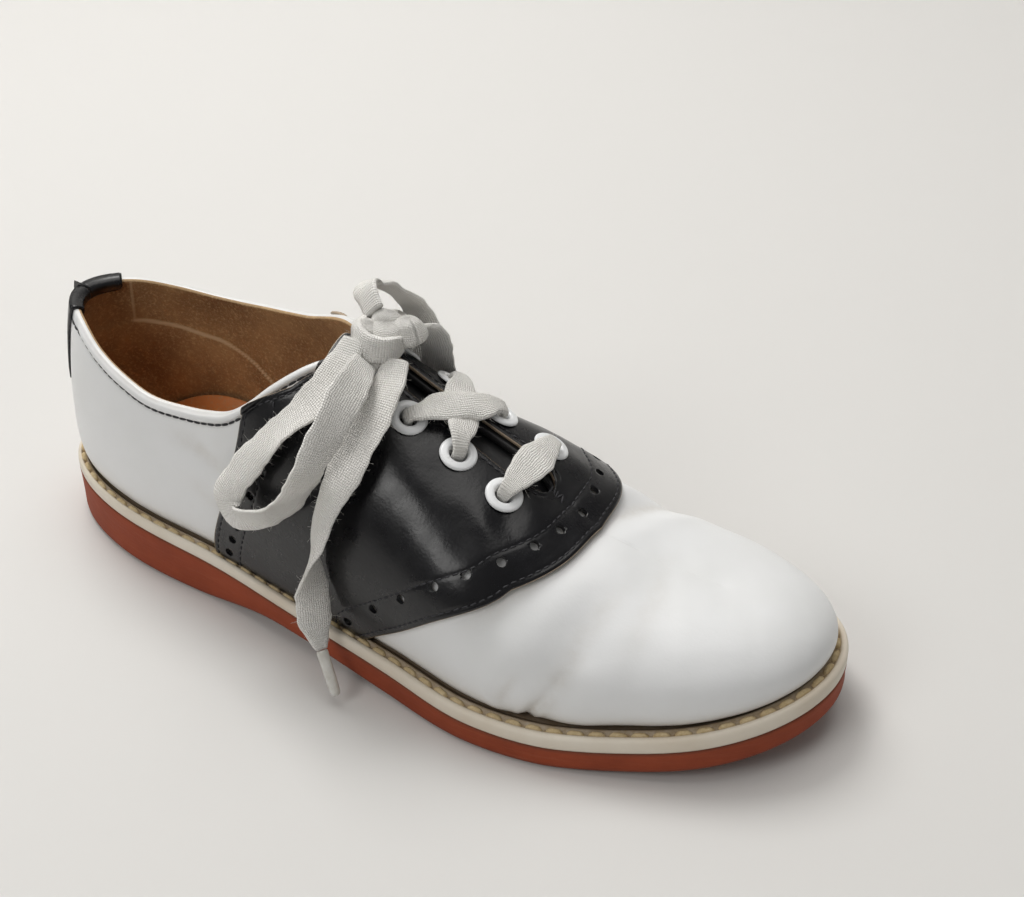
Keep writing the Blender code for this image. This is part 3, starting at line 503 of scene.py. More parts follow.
def clearTip():
    f = Finish("clearTip", 0.22, **{"Coat Weight": 0.4, "Transmission Weight": 0.15, "IOR": 1.5})
    f.colour(f.mix(f.ramp(f.noise(400, 3), 0.4, 0.7), rgba(0.80, 0.79, 0.75), rgba(0.68, 0.66, 0.60)))
    f.bump(f.noise(300, 2, stretch=(1, 1, 0.2)), 0.0001, 0.3)
    return f.material


def tongueLeather():
    f = Finish("tongueLeather", 0.45)
    base = f.mix(f.ramp(f.noise(80, 4), 0.4, 0.7), rgba(0.014, 0.014, 0.016), rgba(0.035, 0.034, 0.034))
    lining = f.mix(f.ramp(f.noise(200, 4), 0.4, 0.7), rgba(0.66, 0.60, 0.50), rgba(0.50, 0.43, 0.33))
    f.colour(f.mix(f.ramp(f.value("raw"), 0.4, 0.6), base, lining))
    f.bump(f.noise(500, 4, 0.6), 0.0002, 0.5)
    return f.material


def stagePaper():
    f = Finish("stagePaper", 0.85)
    f.colour(f.mix(f.noise(1.2, 2), rgba(0.70, 0.695, 0.68), rgba(0.725, 0.715, 0.70)))
    return f.material


finish = {
    "white": whiteLeather(), "black": blackLeather(), "suede": suedeLining(), "insole": tanInsole(),
    "rubber": redRubber(), "welt": creamWelt(), "cotton": cottonLace(), "enamel": whiteEnamel(),
    "tip": clearTip(), "tongue": tongueLeather(), "stage": stagePaper(),
    "tanThread": threadFinish("tanThread", rgba(0.70, 0.56, 0.34), rgba(0.50, 0.37, 0.19), 0.8, 500),
    "blackThread": threadFinish("blackThread", rgba(0.012, 0.012, 0.016), rgba(0.03, 0.03, 0.035), 0.6, 500),
    "cottonHair": threadFinish("cottonHair", rgba(0.84, 0.82, 0.78), rgba(0.7, 0.68, 0.62), 0.9, 500),
}
print("finishes made:", len(finish))


# Camera, floor and lights

photoView = {
    "azimuth": 29.41, "elevation": 35.95, "roll": -0.59, "distance": 528.4,  # degrees and mm
    "target": (9.03, 40.66, 34.99), "lens": 59.22, "sensor": 36.0,
}


# The camera stands at a distance from its target by azimuth and elevation, and is turned by roll.
def makeCamera(view):
    a, e, r = (math.radians(view[key]) for key in ("azimuth", "elevation", "roll"))
    back = Vector((math.sin(a) * math.cos(e), -math.cos(a) * math.cos(e), math.sin(e)))
    right = Vector((math.cos(a), math.sin(a), 0))
    up = back.cross(right)
    right, up = right * math.cos(r) + up * math.sin(r), up * math.cos(r) - right * math.sin(r)
    place = Vector(view["target"]) * mm + back * view["distance"] * mm
    data = bpy.data.cameras.new("camera")
    data.lens, data.sensor_width = view["lens"], view["sensor"]
    data.clip_start, data.clip_end = 0.01, 20
    camera = bpy.data.objects.new("camera", data)
    bpy.context.scene.collection.objects.link(camera)
    camera.matrix_world = Matrix([[right[k], up[k], back[k], place[k]] for k in range(3)] + [[0, 0, 0, 1]])
    bpy.context.scene.camera = camera


studio = {
    "floorReach": 2.6, "wallY": 0.62, "wallRound": 0.18, "wallHigh": 1.6,  # metres
    "world": (0.86, 0.85, 0.83), "worldStrength": 0.22,
    "lights": {  # place and aim in metres, size in metres, power in watts, colour
        "window": ((-0.60, 0.35, 1.15), (0.0, 0.0, 0.03), 0.55, 9.0, (1.0, 0.985, 0.96)),
        "ceiling": ((-0.1, 0.25, 1.5), (0.0, 0.0, 0.0), 1.2, 8.0, (1.0, 0.98, 0.95)),
        "fill": ((-0.36, -1.05, 1.0), (0.0, 0.0, 0.03), 0.6, 4.6, (1.0, 0.99, 0.97)),
    },
}


# Floor and wall: a level line that turns up in a quarter circle, carried sideways.
def makeStudio(room):
    turn = np.linspace(0, math.pi / 2, 13)
    ahead = np.concatenate([[-room["floorReach"]], room["wallY"] + room["wallRound"] * np.sin(turn),
                            [room["wallY"] + room["wallRound"]]])
    high = np.concatenate([[0], room["wallRound"] * (1 - np.cos(turn)), [room["wallHigh"]]])
    side = np.linspace(-room["floorReach"], room["floorReach"], 3)
    points = np.stack([np.broadcast_to(side[:, None], (3, len(ahead))), np.broadcast_to(ahead, (3, len(ahead))),
                       np.broadcast_to(high, (3, len(ahead)))], -1) / mm
    a = math.radians(photoView["azimuth"])
    points = points @ np.array([[math.cos(a), math.sin(a), 0], [-math.sin(a), math.cos(a), 0], [0, 0, 1]])
    mesh = bpy.data.meshes.new("studioFloor")
    mesh.from_pydata((points.reshape(-1, 3) * mm).tolist(), [], gridFaces(3, len(ahead)).tolist())
    mesh.materials.append(finish["stage"])
    mesh.shade_smooth()
    floor = bpy.data.objects.new("studioFloor", mesh)
    bpy.context.scene.collection.objects.link(floor)
    world = bpy.data.worlds.new("studioWorld")
    world.use_nodes = True
    world.node_tree.nodes["Background"].inputs[0].default_value = (*room["world"], 1)
    world.node_tree.nodes["Background"].inputs[1].default_value = room["worldStrength"]
    bpy.context.scene.world = world
    bpy.context.scene.view_settings.view_transform = "Standard"
    for name, (place, aim, size, power, colour) in room["lights"].items():
        data = bpy.data.lights.new(name, "AREA")
        data.energy, data.size, data.color = power, size, colour
        light = bpy.data.objects.new(name, data)
        bpy.context.scene.collection.objects.link(light)
        light.location = place
        light.rotation_euler = (Vector(place) - Vector(aim)).to_track_quat("Z", "Y").to_euler()


makeCamera(photoView)
makeStudio(studio)
print("camera, floor and lights made")


# Laces: the free ends and loops

laceLook = {"step": 1.0, "around": 22, "power": 3.4, "cup": 0.4, "uneven": 0.045, "body": 10.5}
loopBody = {"wide": (7.0,) + (10.5,) * 13 + (7.0,), "thick": (2.4, 1.5, 1.5, 1.4, 1.5, 1.5, 2.2)}
# Each row: x from the shoe's middle, y from the heel's line, z, and the way that the lace's width lies
laceRoutes = {
    "laceLoopOuter": {
        "replaces": "lace_loop_outer", **loopBody,
        "rows": (
            (-13.2, -9.4, 95.8, 1, 0.04, -0.09), (-13.4, -18.5, 90, 0.96, 0.02, -0.29),
            (-15.3, -25.5, 85.9, 0.93, -0.28, -0.23), (-22.7, -32.5, 77.4, 0.67, -0.72, -0.17),
            (-31.2, -36, 67, 0.75, -0.51, -0.42), (-37.5, -38, 57.7, 0.85, -0.38, -0.37),
            (-40.3, -39.5, 50.9, 0.98, -0.07, 0.17), (-38.1, -40.5, 46.9, 0.56, -0.1, 0.82),
            (-30.2, -41, 48.4, -0.33, -0.5, 0.8), (-20.7, -41, 55.2, -0.42, -0.78, 0.47),
            (-13.2, -41.6, 64.2, -0.36, -0.86, 0.36), (-8, -42.2, 73.7, -0.4, -0.8, 0.45),
            (-5, -37.8, 82.7, -0.52, -0.61, 0.59), (-4.6, -30, 88.9, -0.66, -0.4, 0.64),
            (-5.3, -22.1, 91.6, -0.7, -0.25, 0.66), (-8.2, -12.6, 91.4, -0.8, -0.1, 0.6),
        ),
    },
    "laceEndOuter": {
        "replaces": "lace_end_outer", "tip": "aglet_outer", "thick": (2.2, 1.5, 1.5, 1.6, 1.5, 1.5, 2.6),
        "wide": (7.5,) + (10.5,) * 4 + (7.0,) + (10.5,) * 4 + (3.6,),
        "rows": (
            (-1.4, -6.9, 91, 0.98, 0.17, 0.08), (0.2, -14.5, 87, 0.99, 0.06, 0.12),
            (0.3, -25, 80.4, 0.98, 0.07, -0.19), (-1.2, -33, 72.5, 0.98, -0.05, -0.18),
            (-3.5, -39.5, 63.7, 0.97, -0.11, -0.22), (-6.2, -42.5, 54.6, 0.86, -0.5, -0.09),
            (-8, -44, 45.6, 0.45, -0.89, 0.03), (-8.9, -44.5, 36.5, -0.16, -0.99, 0.06),
            (-8.7, -45, 28.7, -0.56, -0.83, 0.04), (-8.1, -45.8, 20.9, -0.62, -0.79, 0.01),
            (-5.2, -48, 14.8, -0.51, -0.85, 0.06),
        ),
    },
    "laceLoopInner": {
        "replaces": "lace_loop_inner", **loopBody,
        "rows": (
            (-13.4, 1.1, 98.9, 0.5, 0.2, 0.8), (-17.5, 4.5, 101.4, 0.5, 0.1, 0.85),
            (-19.9, 8, 101.9, 0.75, -0.1, 0.5), (-19.2, 12, 101.4, 0.9, 0.1, 0.2),
            (-17.2, 16.5, 97.2, 0.9, 0.1, 0), (-14.6, 21.5, 91.4, 0.9, 0.1, 0),
            (-12.8, 24.8, 83.4, 0.9, 0.2, 0), (-13.2, 25.3, 75, 0.8, 0.4, 0.1),
            (-13.2, 26.7, 67, 0.8, 0.5, 0.1), (-13.8, 28.2, 59, 0.8, 0.5, 0.1),
            (-13.4, 29.9, 52, 0.8, 0.4, 0.1), (-10.4, 30, 49.2, 0.9, 0.3, 0.1),
            (-7.6, 27.6, 55.1, 0.9, 0.2, 0.1), (-7, 25, 63.2, 0.9, 0.1, 0.1),
            (-5.8, 22, 72.5, 0.9, 0.1, 0.1), (-4.2, 17.5, 82.6, 0.9, 0, 0.3),
            (-3.4, 13, 90, 0.9, 0, 0.4), (-2.8, 8.7, 92.8, 0.9, 0, 0.4),
        ),
    },
    "laceEndInner": {
        "replaces": "lace_end_inner", "tip": "aglet_inner", "thick": (2.2, 1.5, 1.5, 1.5, 1.5, 2.6),
        "wide": (7.0, 8.0, 9.0) + (10.5,) * 6 + (3.6,),
        "rows": (
            (-9.6, 9.0, 92.2, 0.8, 0, 0.4), (-15.5, 13.8, 88.8, 0.8, 0.1, 0.4),
            (-25.5, 21.5, 83.8, 0.8, 0.2, 0.3), (-31, 28.5, 76, 0.8, 0.3, 0.2),
            (-31.5, 32.3, 67, 0.8, 0.4, 0.2), (-31.5, 34, 57.5, 0.8, 0.5, 0.1),
            (-33, 34.8, 48, 0.8, 0.5, 0), (-34, 35, 38, 0.8, 0.5, 0),
            (-34.5, 34.8, 29, 0.8, 0.5, 0),
        ),
    },
}
aglets = {
    "profile": ((0.0, 1.35), (0.15, 1.62), (0.6, 1.7), (5.0, 1.68), (9.0, 1.62), (12.6, 1.5), (13.4, 1.2),
                (13.7, 0.6)),
    "ends": {"aglet_outer": ((-4.97, -48.14, 14.48), (2.8, -53.2, 3.7)),
             "aglet_inner": ((-34.55, 34.77, 28.6), (-35.9, 34.4, 15.6))},
}


# Smooth line through a route's points at even steps: lengths, places, directions and width directions.
def followRoute(route, across, step):
    knots = np.concatenate([[0], np.cumsum(np.linalg.norm(np.diff(route, axis=0), axis=1))])
    s = np.linspace(0, knots[-1], max(12, int(knots[-1] / step)))
    line = np.stack([smoothCurve(s, knots, route[:, k]) for k in range(3)], -1)
    way = np.stack([smoothCurve(s, knots, across[:, k]) for k in range(3)], -1)
    ahead = unit(np.gradient(line, axis=0))
    return s, line, ahead, unit(way - (way * ahead).sum(-1, keepdims=True) * ahead)


# Flat lace: the superellipse |u|^p + |v|^p = 1 carried along the route, its width and cup uneven by slow sines.
def laceTube(route, across, wide, thick, look, cup=1.0):
    s, line, ahead, way = followRoute(route, across, look["step"])
    up = np.cross(ahead, way)
    part = s / s[-1]
    wide = np.interp(part, np.linspace(0, 1, len(wide)), wide)
    thick = np.interp(part, np.linspace(0, 1, len(thick)), thick)
    phase = random.uniform(0, 2 * math.pi, 5)
    wide = wide * (1 + look["uneven"] * (np.sin(s * 0.45 + phase[0]) + 0.6 * np.sin(s * 1.1 + phase[1])))
    bowl = look["cup"] * cup * (np.sin(s * 0.11 + phase[2]) + 0.4 * np.sin(s * 0.35 + phase[3]))
    bowl = bowl * (wide / look["body"]) ** 2
    angle = np.linspace(0, 2 * math.pi, look["around"], endpoint=False)
    u = np.sign(np.cos(angle)) * np.abs(np.cos(angle)) ** (1.6 / look["power"])
    v = np.sign(np.sin(angle)) * np.abs(np.sin(angle)) ** (2 / look["power"])
    fold = 0.12 * np.sin(2.2 * u[None] + 0.5 * np.sin(s * 0.3 + phase[4])[:, None] * 3)
    aside = u[None] * wide[:, None] / 2
    high = v[None] * thick[:, None] / 2 + bowl[:, None] * (u[None] ** 2 - 0.4) * 2 + fold
    points = line[:, None] + way[:, None] * aside[..., None] + up[:, None] * high[..., None]
    uv = np.stack([aside * look["body"] / np.maximum(wide, 5)[:, None],
                   np.broadcast_to(s[:, None], aside.shape)], -1)
    n = look["around"]
    k = np.arange(n // 2)
    cap = np.stack([k, k + 1, (-k - 1) % n, (-k) % n], -1)
    end = (len(s) - 1) * n
    faces = np.concatenate([gridFaces(len(s), n, ringColumns=True), cap, cap[:, ::-1] + end])
    return points.reshape(-1, 3), faces, uv.reshape(-1, 2), line, s[-1]


# A profile of (height, radius) pairs turned about the line from start to end.
def turnedPiece(name, profile, start, end, segments, material, replaces):
    axis = unit(end - start)
    aside = unit(np.cross(axis, (0.3, 1.0, 0.2)))
    third = np.cross(axis, aside)
    angle = np.linspace(0, 2 * math.pi, segments, endpoint=False)
    spoke = np.cos(angle)[:, None] * aside + np.sin(angle)[:, None] * third
    high, radius = np.asarray(profile, float).T
    rings = start + axis * high[:, None, None] + spoke[None] * radius[:, None, None]
    middles = start + axis * high[[0, -1], None]
    points = np.concatenate([rings.reshape(-1, 3), np.repeat(middles[:1], segments, 0),
                             np.repeat(middles[1:], segments, 0)])
    count = len(profile)
    faces = gridFaces(count, segments, ringColumns=True)
    k = np.arange(segments)
    first, last = count * segments + k, (count + 1) * segments + k
    faces = np.concatenate([faces, np.stack([k, (k + 1) % segments, np.roll(first, -1), first], -1),
                            np.stack([last, np.roll(last, -1), (k + 1) % segments + (count - 1) * segments,
                                      k + (count - 1) * segments], -1)])
    return makePiece(name, points, faces, [material], replaces=replaces)


# Each lace is a tube along its rows; a free end has its tip at the far end of its route.
def makeFreeLaces(routes, look, tips):
    for name, route in routes.items():
        rows = np.asarray(route["rows"], float)
        line = rows[:, :3] + (0, form["heelLineY"], 0)
        points, faces, uv, path, length = laceTube(line, rows[:, 3:], route["wide"], route["thick"], look)
        piece = makePiece(name, points, faces, [finish["cotton"]], replaces=[route["replaces"]], uv=uv)
        path = path * mm
        tip = []
        if "tip" in route:
            start, end = np.asarray(tips["ends"][route["tip"]], float) + (0, form["heelLineY"], 0)
            tip = [turnedPiece("aglet" + name[7:], tips["profile"], start, end, 28, finish["tip"],
                               [route["tip"]])]


makeFreeLaces(laceRoutes, laceLook, aglets)
print("free laces made")


# Sole: rubber, welt and insole

soleLook = {
    "stations": 230, "capRows": 9,
    # pairs of inset and height: over the floor side, then over the rubber's top
    "rubberProfile": ((2.4, 0.0), (1.2, 0.12), (0.45, 0.55), (0.1, 1.2), (0.0, 2.2)),
    "rubberTopEdge": ((0.0, -1.0), (0.1, -0.35), (0.5, 0.0)),
}
weltStitch = {"pitch": 5.9, "long": 5.3, "wide": 0.95, "lift": 0.45, "dip": 0.9, "sides": 8, "slant": 0.06,
              "flat": 0.85}
# Across the welt in parts of its margin, from the outside in, and height over its top in mm
weltProfile = {
    "part": (0.10, 0.02, 0.0, 0.0, 0.03, 0.10, 0.22, 0.36, 0.42, 0.50, 0.62, 0.74, 0.82, 0.88, 0.96, 1.06,
             1.30),
    "high": (None, None, None, -1.5, -0.75, -0.28, -0.04, 0.0, -0.10, -0.62, -0.95, -0.70, -0.22, -0.05, -0.12,
             -0.55, -1.3),
    "groove": (0.5, 0.25, 0.05, 0, 0, 0, 0.05, 0.30, 0.75, 1.0, 1.0, 1.0, 0.95, 0.9, 0.9, 0.9, 0.9),
    "stitchPart": 0.62,
    # shade: painted shade, darkest in the gap where the welt meets the upper, and a little along the welt's
    # bottom edge by the rubber.
    "shade": (0.25, 0.1, 0, 0, 0, 0, 0, 0, 0.05, 0.15, 0.2, 0.2, 0.25, 0.4, 0.75, 1.0, 1.0),
}


# Closed ring round the outline: down the outer side and back up the inner one, moved in by inset(x).
def ringPoints(stations, inset):
    t = np.linspace(0, 1, stations)
    parts = []
    for side, order in ((outer, t), (inner, t[-2:0:-1])):
        x, y, out = outlinePoint(order, side, inset(soleX(order)))
        parts.append(np.stack([x, y, out[..., 0], out[..., 1], soleX(order)], -1))
    return np.concatenate(parts)


# Carries a profile of (inset, height) pairs round the outline, closed at both ends by rows from side to side.
def ringSolid(levels, stations, capRows):
    rings = []
    for inset, height in levels:
        ring = ringPoints(stations, inset)
        rings.append(np.stack([ring[:, 0], ring[:, 1], height(ring[:, 4])], -1))
    grid = np.stack(rings)
    count = grid.shape[1]
    faces = [gridFaces(len(levels), count, ringColumns=True)]
    points = [grid.reshape(-1, 3)]
    base = len(levels) * count
    across = np.linspace(0, 1, capRows)[None, :, None]
    for ring, flip in ((grid[0], True), (grid[-1], False)):
        near = ring[:stations]
        far = np.concatenate([ring[:1], ring[:stations - 1:-1], ring[stations - 1:stations]])
        cap = near[:, None] * (1 - across) + far[:, None] * across
        faces.append(gridFaces(stations, capRows, flip=flip) + base)
        points.append(cap.reshape(-1, 3))
        base += stations * capRows
    return toFrame(np.concatenate(points)), np.concatenate(faces), grid


# Rubber: rings by the pairs of inset and height, and between them three rings moved in by
# 0.12 * sin(pi * part), at even parts of the side's height.
def makeOutsole(look):
    levels = [(lambda x, i=i: np.full_like(x, i), lambda x, h=h: floorSide(x) + h)
              for i, h in look["rubberProfile"]]
    for part in (0.25, 0.5, 0.75):
        levels.append((lambda x, p=part: np.full_like(x, 0.12 * math.sin(math.pi * p)),
                       lambda x, p=part: (1 - p) * (floorSide(x) + 2.2) + p * (rubberTop(x) - 1.0)))
    levels += [(lambda x, i=i: np.full_like(x, i), lambda x, h=h: rubberTop(x) + h)
               for i, h in look["rubberTopEdge"]]
    points, faces, _ = ringSolid(levels, look["stations"], look["capRows"])
    # Darker near the floor, dirt at the bottom edge, and in a thin band just under the rubber's top: painted
    # shade in the joint under the welt.
    low = floorSide(points[:, 0] + form["length"] / 2)
    grimeAndShade = np.clip(1 - (points[:, 2] - low) / 2.2, 0, 1) * 0.55
    top = rubberTop(points[:, 0] + form["length"] / 2)
    grimeAndShade = np.maximum(grimeAndShade, np.clip(1 - (top - points[:, 2]) / 0.7, 0, 1) * 0.7)
    makePiece("outsole", points, faces, [finish["rubber"]], replaces=["outsole"], values={"grimeAndShade": grimeAndShade},
              sharp=50)


# Welt: insets as parts of its margin, heights over its top; the lowest three follow the rubber's top.
def makeWelt(look, profile):
    heights = [lambda x: rubberTop(x) + 0.25, lambda x: rubberTop(x) + 0.45, lambda x: rubberTop(x) + 1.0]
    levels = []
    for k, (part, high) in enumerate(zip(profile["part"], profile["high"])):
        inset = lambda x, p=part: p * lookUp(form["welt"], "margin", x)
        levels.append((inset, heights[k] if high is None else (lambda x, h=high: weltTop(x) + h)))
    points, faces, grid = ringSolid(levels, look["stations"], look["capRows"])
    count = grid.shape[1]
    rest = len(points) - len(levels) * count
    values = {key: np.concatenate([np.repeat(profile[key], count), np.full(rest, fill)])
              for key, fill in (("groove", 0.5), ("shade", 0.6))}
    makePiece("welt", points, faces, [finish["welt"]], replaces=["welt"], values=values, sharp=60)
    return toFrame(grid[profile["part"].index(profile["stitchPart"])])


insoleLook = {
    "stations": 200, "capRows": 41, "clear": 0.35, "low": 0.4, "shoulder": 2.5, "round": 0.5, "high": 2.85,
    # the heel end is cupped up by the walls: rise, distances from the middle, and distances along
    # where it comes and goes
    "cup": 11.0, "cupAside": (9, 25), "cupStart": (2, 16), "cupEnd": (58, 84), "wave": 0.5,
}


# Insole: a ring solid whose top rises by wave * sin * cos, and by the cup times soft steps along and aside.
def makeInsole(look):
    inside = lambda x: lookUp(form["welt"], "margin", x) + form["wall"] + look["clear"]
    levels = [(inside, lambda x: weltTop(x) + look["low"]), (inside, lambda x: weltTop(x) + look["shoulder"]),
              (lambda x: inside(x) + look["round"], lambda x: weltTop(x) + look["high"])]
    points, faces, _ = ringSolid(levels, look["stations"], look["capRows"])
    along, aside = points[:, 0] + form["length"] / 2, points[:, 1] - form["heelLineY"]
    heel = softStep(along, *look["cupStart"]) * (1 - softStep(along, *look["cupEnd"]))
    rise = look["wave"] * np.sin(along * 0.11) * np.cos(aside * 0.13)
    rise += look["cup"] * heel * softStep(np.abs(aside), *look["cupAside"]) ** 1.5
    points[:, 2] += rise * softStep(points[:, 2] - weltTop(along), 1.0, 2.4)
    makePiece("insole", points, faces, [finish["insole"]], replaces=["insole"], sharp=60)


# Resamples a polyline at even steps of its length: points, directions and normals.
def evenly(line, normals, pitch, shift=0.5, closed=False):
    if closed:
        line, normals = np.concatenate([line, line[:1]]), np.concatenate([normals, normals[:1]])
    length = np.concatenate([[0], np.cumsum(np.linalg.norm(np.diff(line, axis=0), axis=1))])
    count = max(1, int(length[-1] / pitch))
    at = (np.arange(count) + shift) * length[-1] / count
    place = np.stack([np.interp(at, length, line[:, k]) for k in range(3)], -1)
    ahead = np.stack([np.interp(at + 0.3, length, line[:, k]) - np.interp(at - 0.3, length, line[:, k])
                      for k in range(3)], -1)
    normal = np.stack([np.interp(at, length, normals[:, k]) for k in range(3)], -1)
    ahead = unit(ahead)
    return place, ahead, unit(normal - (normal * ahead).sum(-1, keepdims=True) * ahead)


# Stitches: at each place a closed pillow, radius wide * (1 - u^4)^0.5 along u, its ends dipping with u^4.
def makeStitches(name, rows, look, material):
    u = np.array([-1.0, -0.86, -0.5, 0, 0.5, 0.86, 1.0])
    around = np.linspace(0, 2 * math.pi, look.get("sides", 6), endpoint=False)
    radius = np.sqrt(np.clip(1 - u**4, 0, 1))
    points, faces, count = [], [], 0
    for place, ahead, normal in rows:
        aside = np.cross(ahead, normal)
        n = len(place)
        turn = random.normal(0, look.get("wander", 0.03), n)
        ahead = unit(ahead + aside * (turn + look.get("slant", 0))[:, None])
        aside = np.cross(ahead, normal)
        size = look["wide"] * random.uniform(0.93, 1.07, n)
        long = look["long"] / 2 * random.uniform(0.96, 1.04, n)
        line = (place[:, None] + ahead[:, None] * (u[None] * long[:, None])[..., None]
                + normal[:, None] * (look["lift"] - look["dip"] * u**4)[None, :, None])
        ring = (aside[:, None, None] * np.cos(around)[None, None, :, None]
                + normal[:, None, None] * (np.sin(around) * look.get("flat", 0.7))[None, None, :, None])
        cloud = line[:, :, None] + ring * (radius[None, :] * size[:, None])[:, :, None, None]
        one = gridFaces(len(u), len(around), ringColumns=True)
        block = len(u) * len(around)
        faces.append((one[None] + (np.arange(n) * block)[:, None, None]).reshape(-1, 4) + count)
        points.append(cloud.reshape(-1, 3))
        count += n * block
    points, faces = np.concatenate(points), np.concatenate(faces)
    return makePiece(name, points, faces, [material])


makeOutsole(soleLook)
weltMiddle = makeWelt(soleLook, weltProfile)
makeInsole(insoleLook)
upwards = np.tile([0.0, 0, 1], (len(weltMiddle), 1))
makeStitches("weltStitches", [evenly(weltMiddle, upwards, weltStitch["pitch"], closed=True)], weltStitch,
             finish["tanThread"])
print("sole, welt and insole made")


# Upper: one closed wall, white leather outside and suede inside

upperLook = {
    "stations": 300, "outerRows": 62, "innerRows": 72, "rollRows": 6, "rollHigh": 0.5,
    "beadWide": 2.8, "beadHigh": 0.9, "seamBelow": 0.6, "beadEnd": 113.0, "seamDepth": 0.35,
    "beadFade": (14.5, 17.0), "tabReach": 40, "denseFrom": 0.88, "denseRows": 18,
}
# Creases: path as (distance along, distance from the ridge, outer side below zero), depth and width in mm
creases = {
    "ball": {"path": ((187, -68), (191.2, -60), (194.5, -52), (197.6, -44), (201, -34), (205, -23),
                      (210.5, -13)),
             "depth": (0.55, 0.9, 0.8, 0.65, 0.5, 0.35, 0.1), "width": 5.5},
    "ballFine": {"path": ((186.5, -69), (189.5, -62), (193, -55), (197, -46)), "depth": (0.7, 0.75, 0.5, 0.1),
                 "width": 1.1},
    "behind": {"path": ((168, -54), (175, -42), (181.5, -30), (187.5, -18), (191, -9)),
               "depth": (0.1, 0.5, 0.6, 0.5, 0.1), "width": 5.0},
    "top": {"path": ((193, -12), (194.5, 2), (195.5, 14), (196, 26), (196, 36)),
            "depth": (0.1, 0.5, 0.8, 0.9, 0.5), "width": 5.0},
    "ahead": {"path": ((212, -36), (216, -24), (219, -12), (221, 2)), "depth": (0.1, 0.35, 0.4, 0.1),
              "width": 7.0},
    "low": {"path": ((180, -66), (183, -58), (186, -51)), "depth": (0.5, 0.4, 0.05), "width": 2.4},
    "innerBall": {"path": ((186, 68), (190, 58), (193, 48), (196, 38), (198, 28)),
                  "depth": (0.6, 0.8, 0.7, 0.5, 0.1), "width": 5.5},
    "innerFine": {"path": ((177, 66), (181, 56), (185, 46)), "depth": (0.35, 0.4, 0.05), "width": 2.2},
    "quarterOuter": {"path": ((60, -62), (72, -62), (84, -66)), "depth": (0.1, 0.7, 0.5), "width": 6.0},
    "quarterLow": {"path": ((66, -74), (76, -78), (86, -84)), "depth": (0.1, 0.5, 0.2), "width": 7.0},
    "quarterInner": {"path": ((58, 60), (72, 64), (82, 70)), "depth": (0.1, 0.6, 0.3), "width": 6.0},
}


# Lining: top of the heel pocket as heights at distances along, the back joint, widths and steps
pocketSeam = {
    "along": (3, 14, 25, 35.5, 45.5, 54.5, 58, 68, 80), "high": (60, 60.5, 58.5, 56, 54, 49, 46.5, 39, 30),
    "start": (11, 15), "seamWide": 0.9, "backJoint": 14.0, "jointWide": 0.8, "jointLean": 0.03,
    "pocketStep": 0.45, "seamStep": 0.3, "off": 99.0,
}
# Black stretch of the edge: distances along, and how many rows of the mesh below the roll and inside it
dyedThroat = {"along": (108, 179), "below": 9, "inside": 8}


# A crease is a soft trough -depth * exp(-(d/w)^2) with a ridge about half as high at both its sides,
# d from a polyline.
def creaseHeight(along, girth, folds):
    total = np.zeros_like(along)
    trough = np.zeros_like(along)
    for fold in folds.values():
        path = np.asarray(fold["path"], float)
        knots = np.arange(len(path))
        fine = np.linspace(0, len(path) - 1, 8 * (len(path) - 1) + 1)
        line = np.stack([smoothCurve(fine, knots, path[:, k]) for k in (0, 1)], -1)
        depths = smoothCurve(fine, np.linspace(0, len(path) - 1, len(fold["depth"])), fold["depth"])
        best = np.full(along.shape, 1e9)
        deep = np.zeros_like(along)
        for a, b, da, db in zip(line[:-1], line[1:], depths[:-1], depths[1:]):
            step = b - a
            part = np.clip(((along - a[0]) * step[0] + (girth - a[1]) * step[1]) / (step @ step), 0, 1)
            far = np.hypot(along - a[0] - part * step[0], girth - a[1] - part * step[1])
            deep = np.where(far < best, da + part * (db - da), deep)
            best = np.minimum(best, far)
        w = fold["width"]
        total += deep * (0.45 * np.exp(-((best - 1.9 * w) / (0.9 * w)) ** 2) - np.exp(-((best / w) ** 2)))
        # The second value marks the crease bottoms, where shade is painted into the white leather.
        trough = np.maximum(trough, deep * np.exp(-((best / (0.5 * w)) ** 2)) / (0.6 + w * 0.12))
    return total, trough


# Arc length up each column of a grid of points.
def arcUp(points):
    step = np.linalg.norm(np.diff(points, axis=1), axis=2)
    return np.concatenate([np.zeros((len(points), 1)), np.cumsum(step, 1)], 1)


# Smooth normals shared by both sides' grids, from faces welded at the ridge, the heel and the toe.
def sharedNormals(grids):
    points = np.concatenate([grids[s].reshape(-1, 3) for s in (outer, inner)])
    rows, columns = grids[outer].shape[:2]
    faces = np.concatenate([gridFaces(rows, columns), gridFaces(rows, columns, flip=True) + rows * columns])
    first, inverse = weldIndex(points)
    normals = pointNormals(points[first], inverse[faces])[inverse]
    if (normals * (points - points.mean(0))).sum() < 0:
        normals = -normals
    half = rows * columns
    return {outer: normals[:half].reshape(rows, columns, 3), inner: normals[half:].reshape(rows, columns, 3)}


# Low waves of the skin: a few sines of the place, of different lengths.
def waves(points, size, long):
    x, y, z = points[..., 0] / long, points[..., 1] / long, points[..., 2] / long
    return size * (np.sin(x * 2.1 + y * 1.3) * np.sin(z * 2.4 - y) + 0.6 * np.sin(x * 4.3 - z * 3.1 + 1.7)
                   * np.sin(y * 3.9 + x)) / 1.3


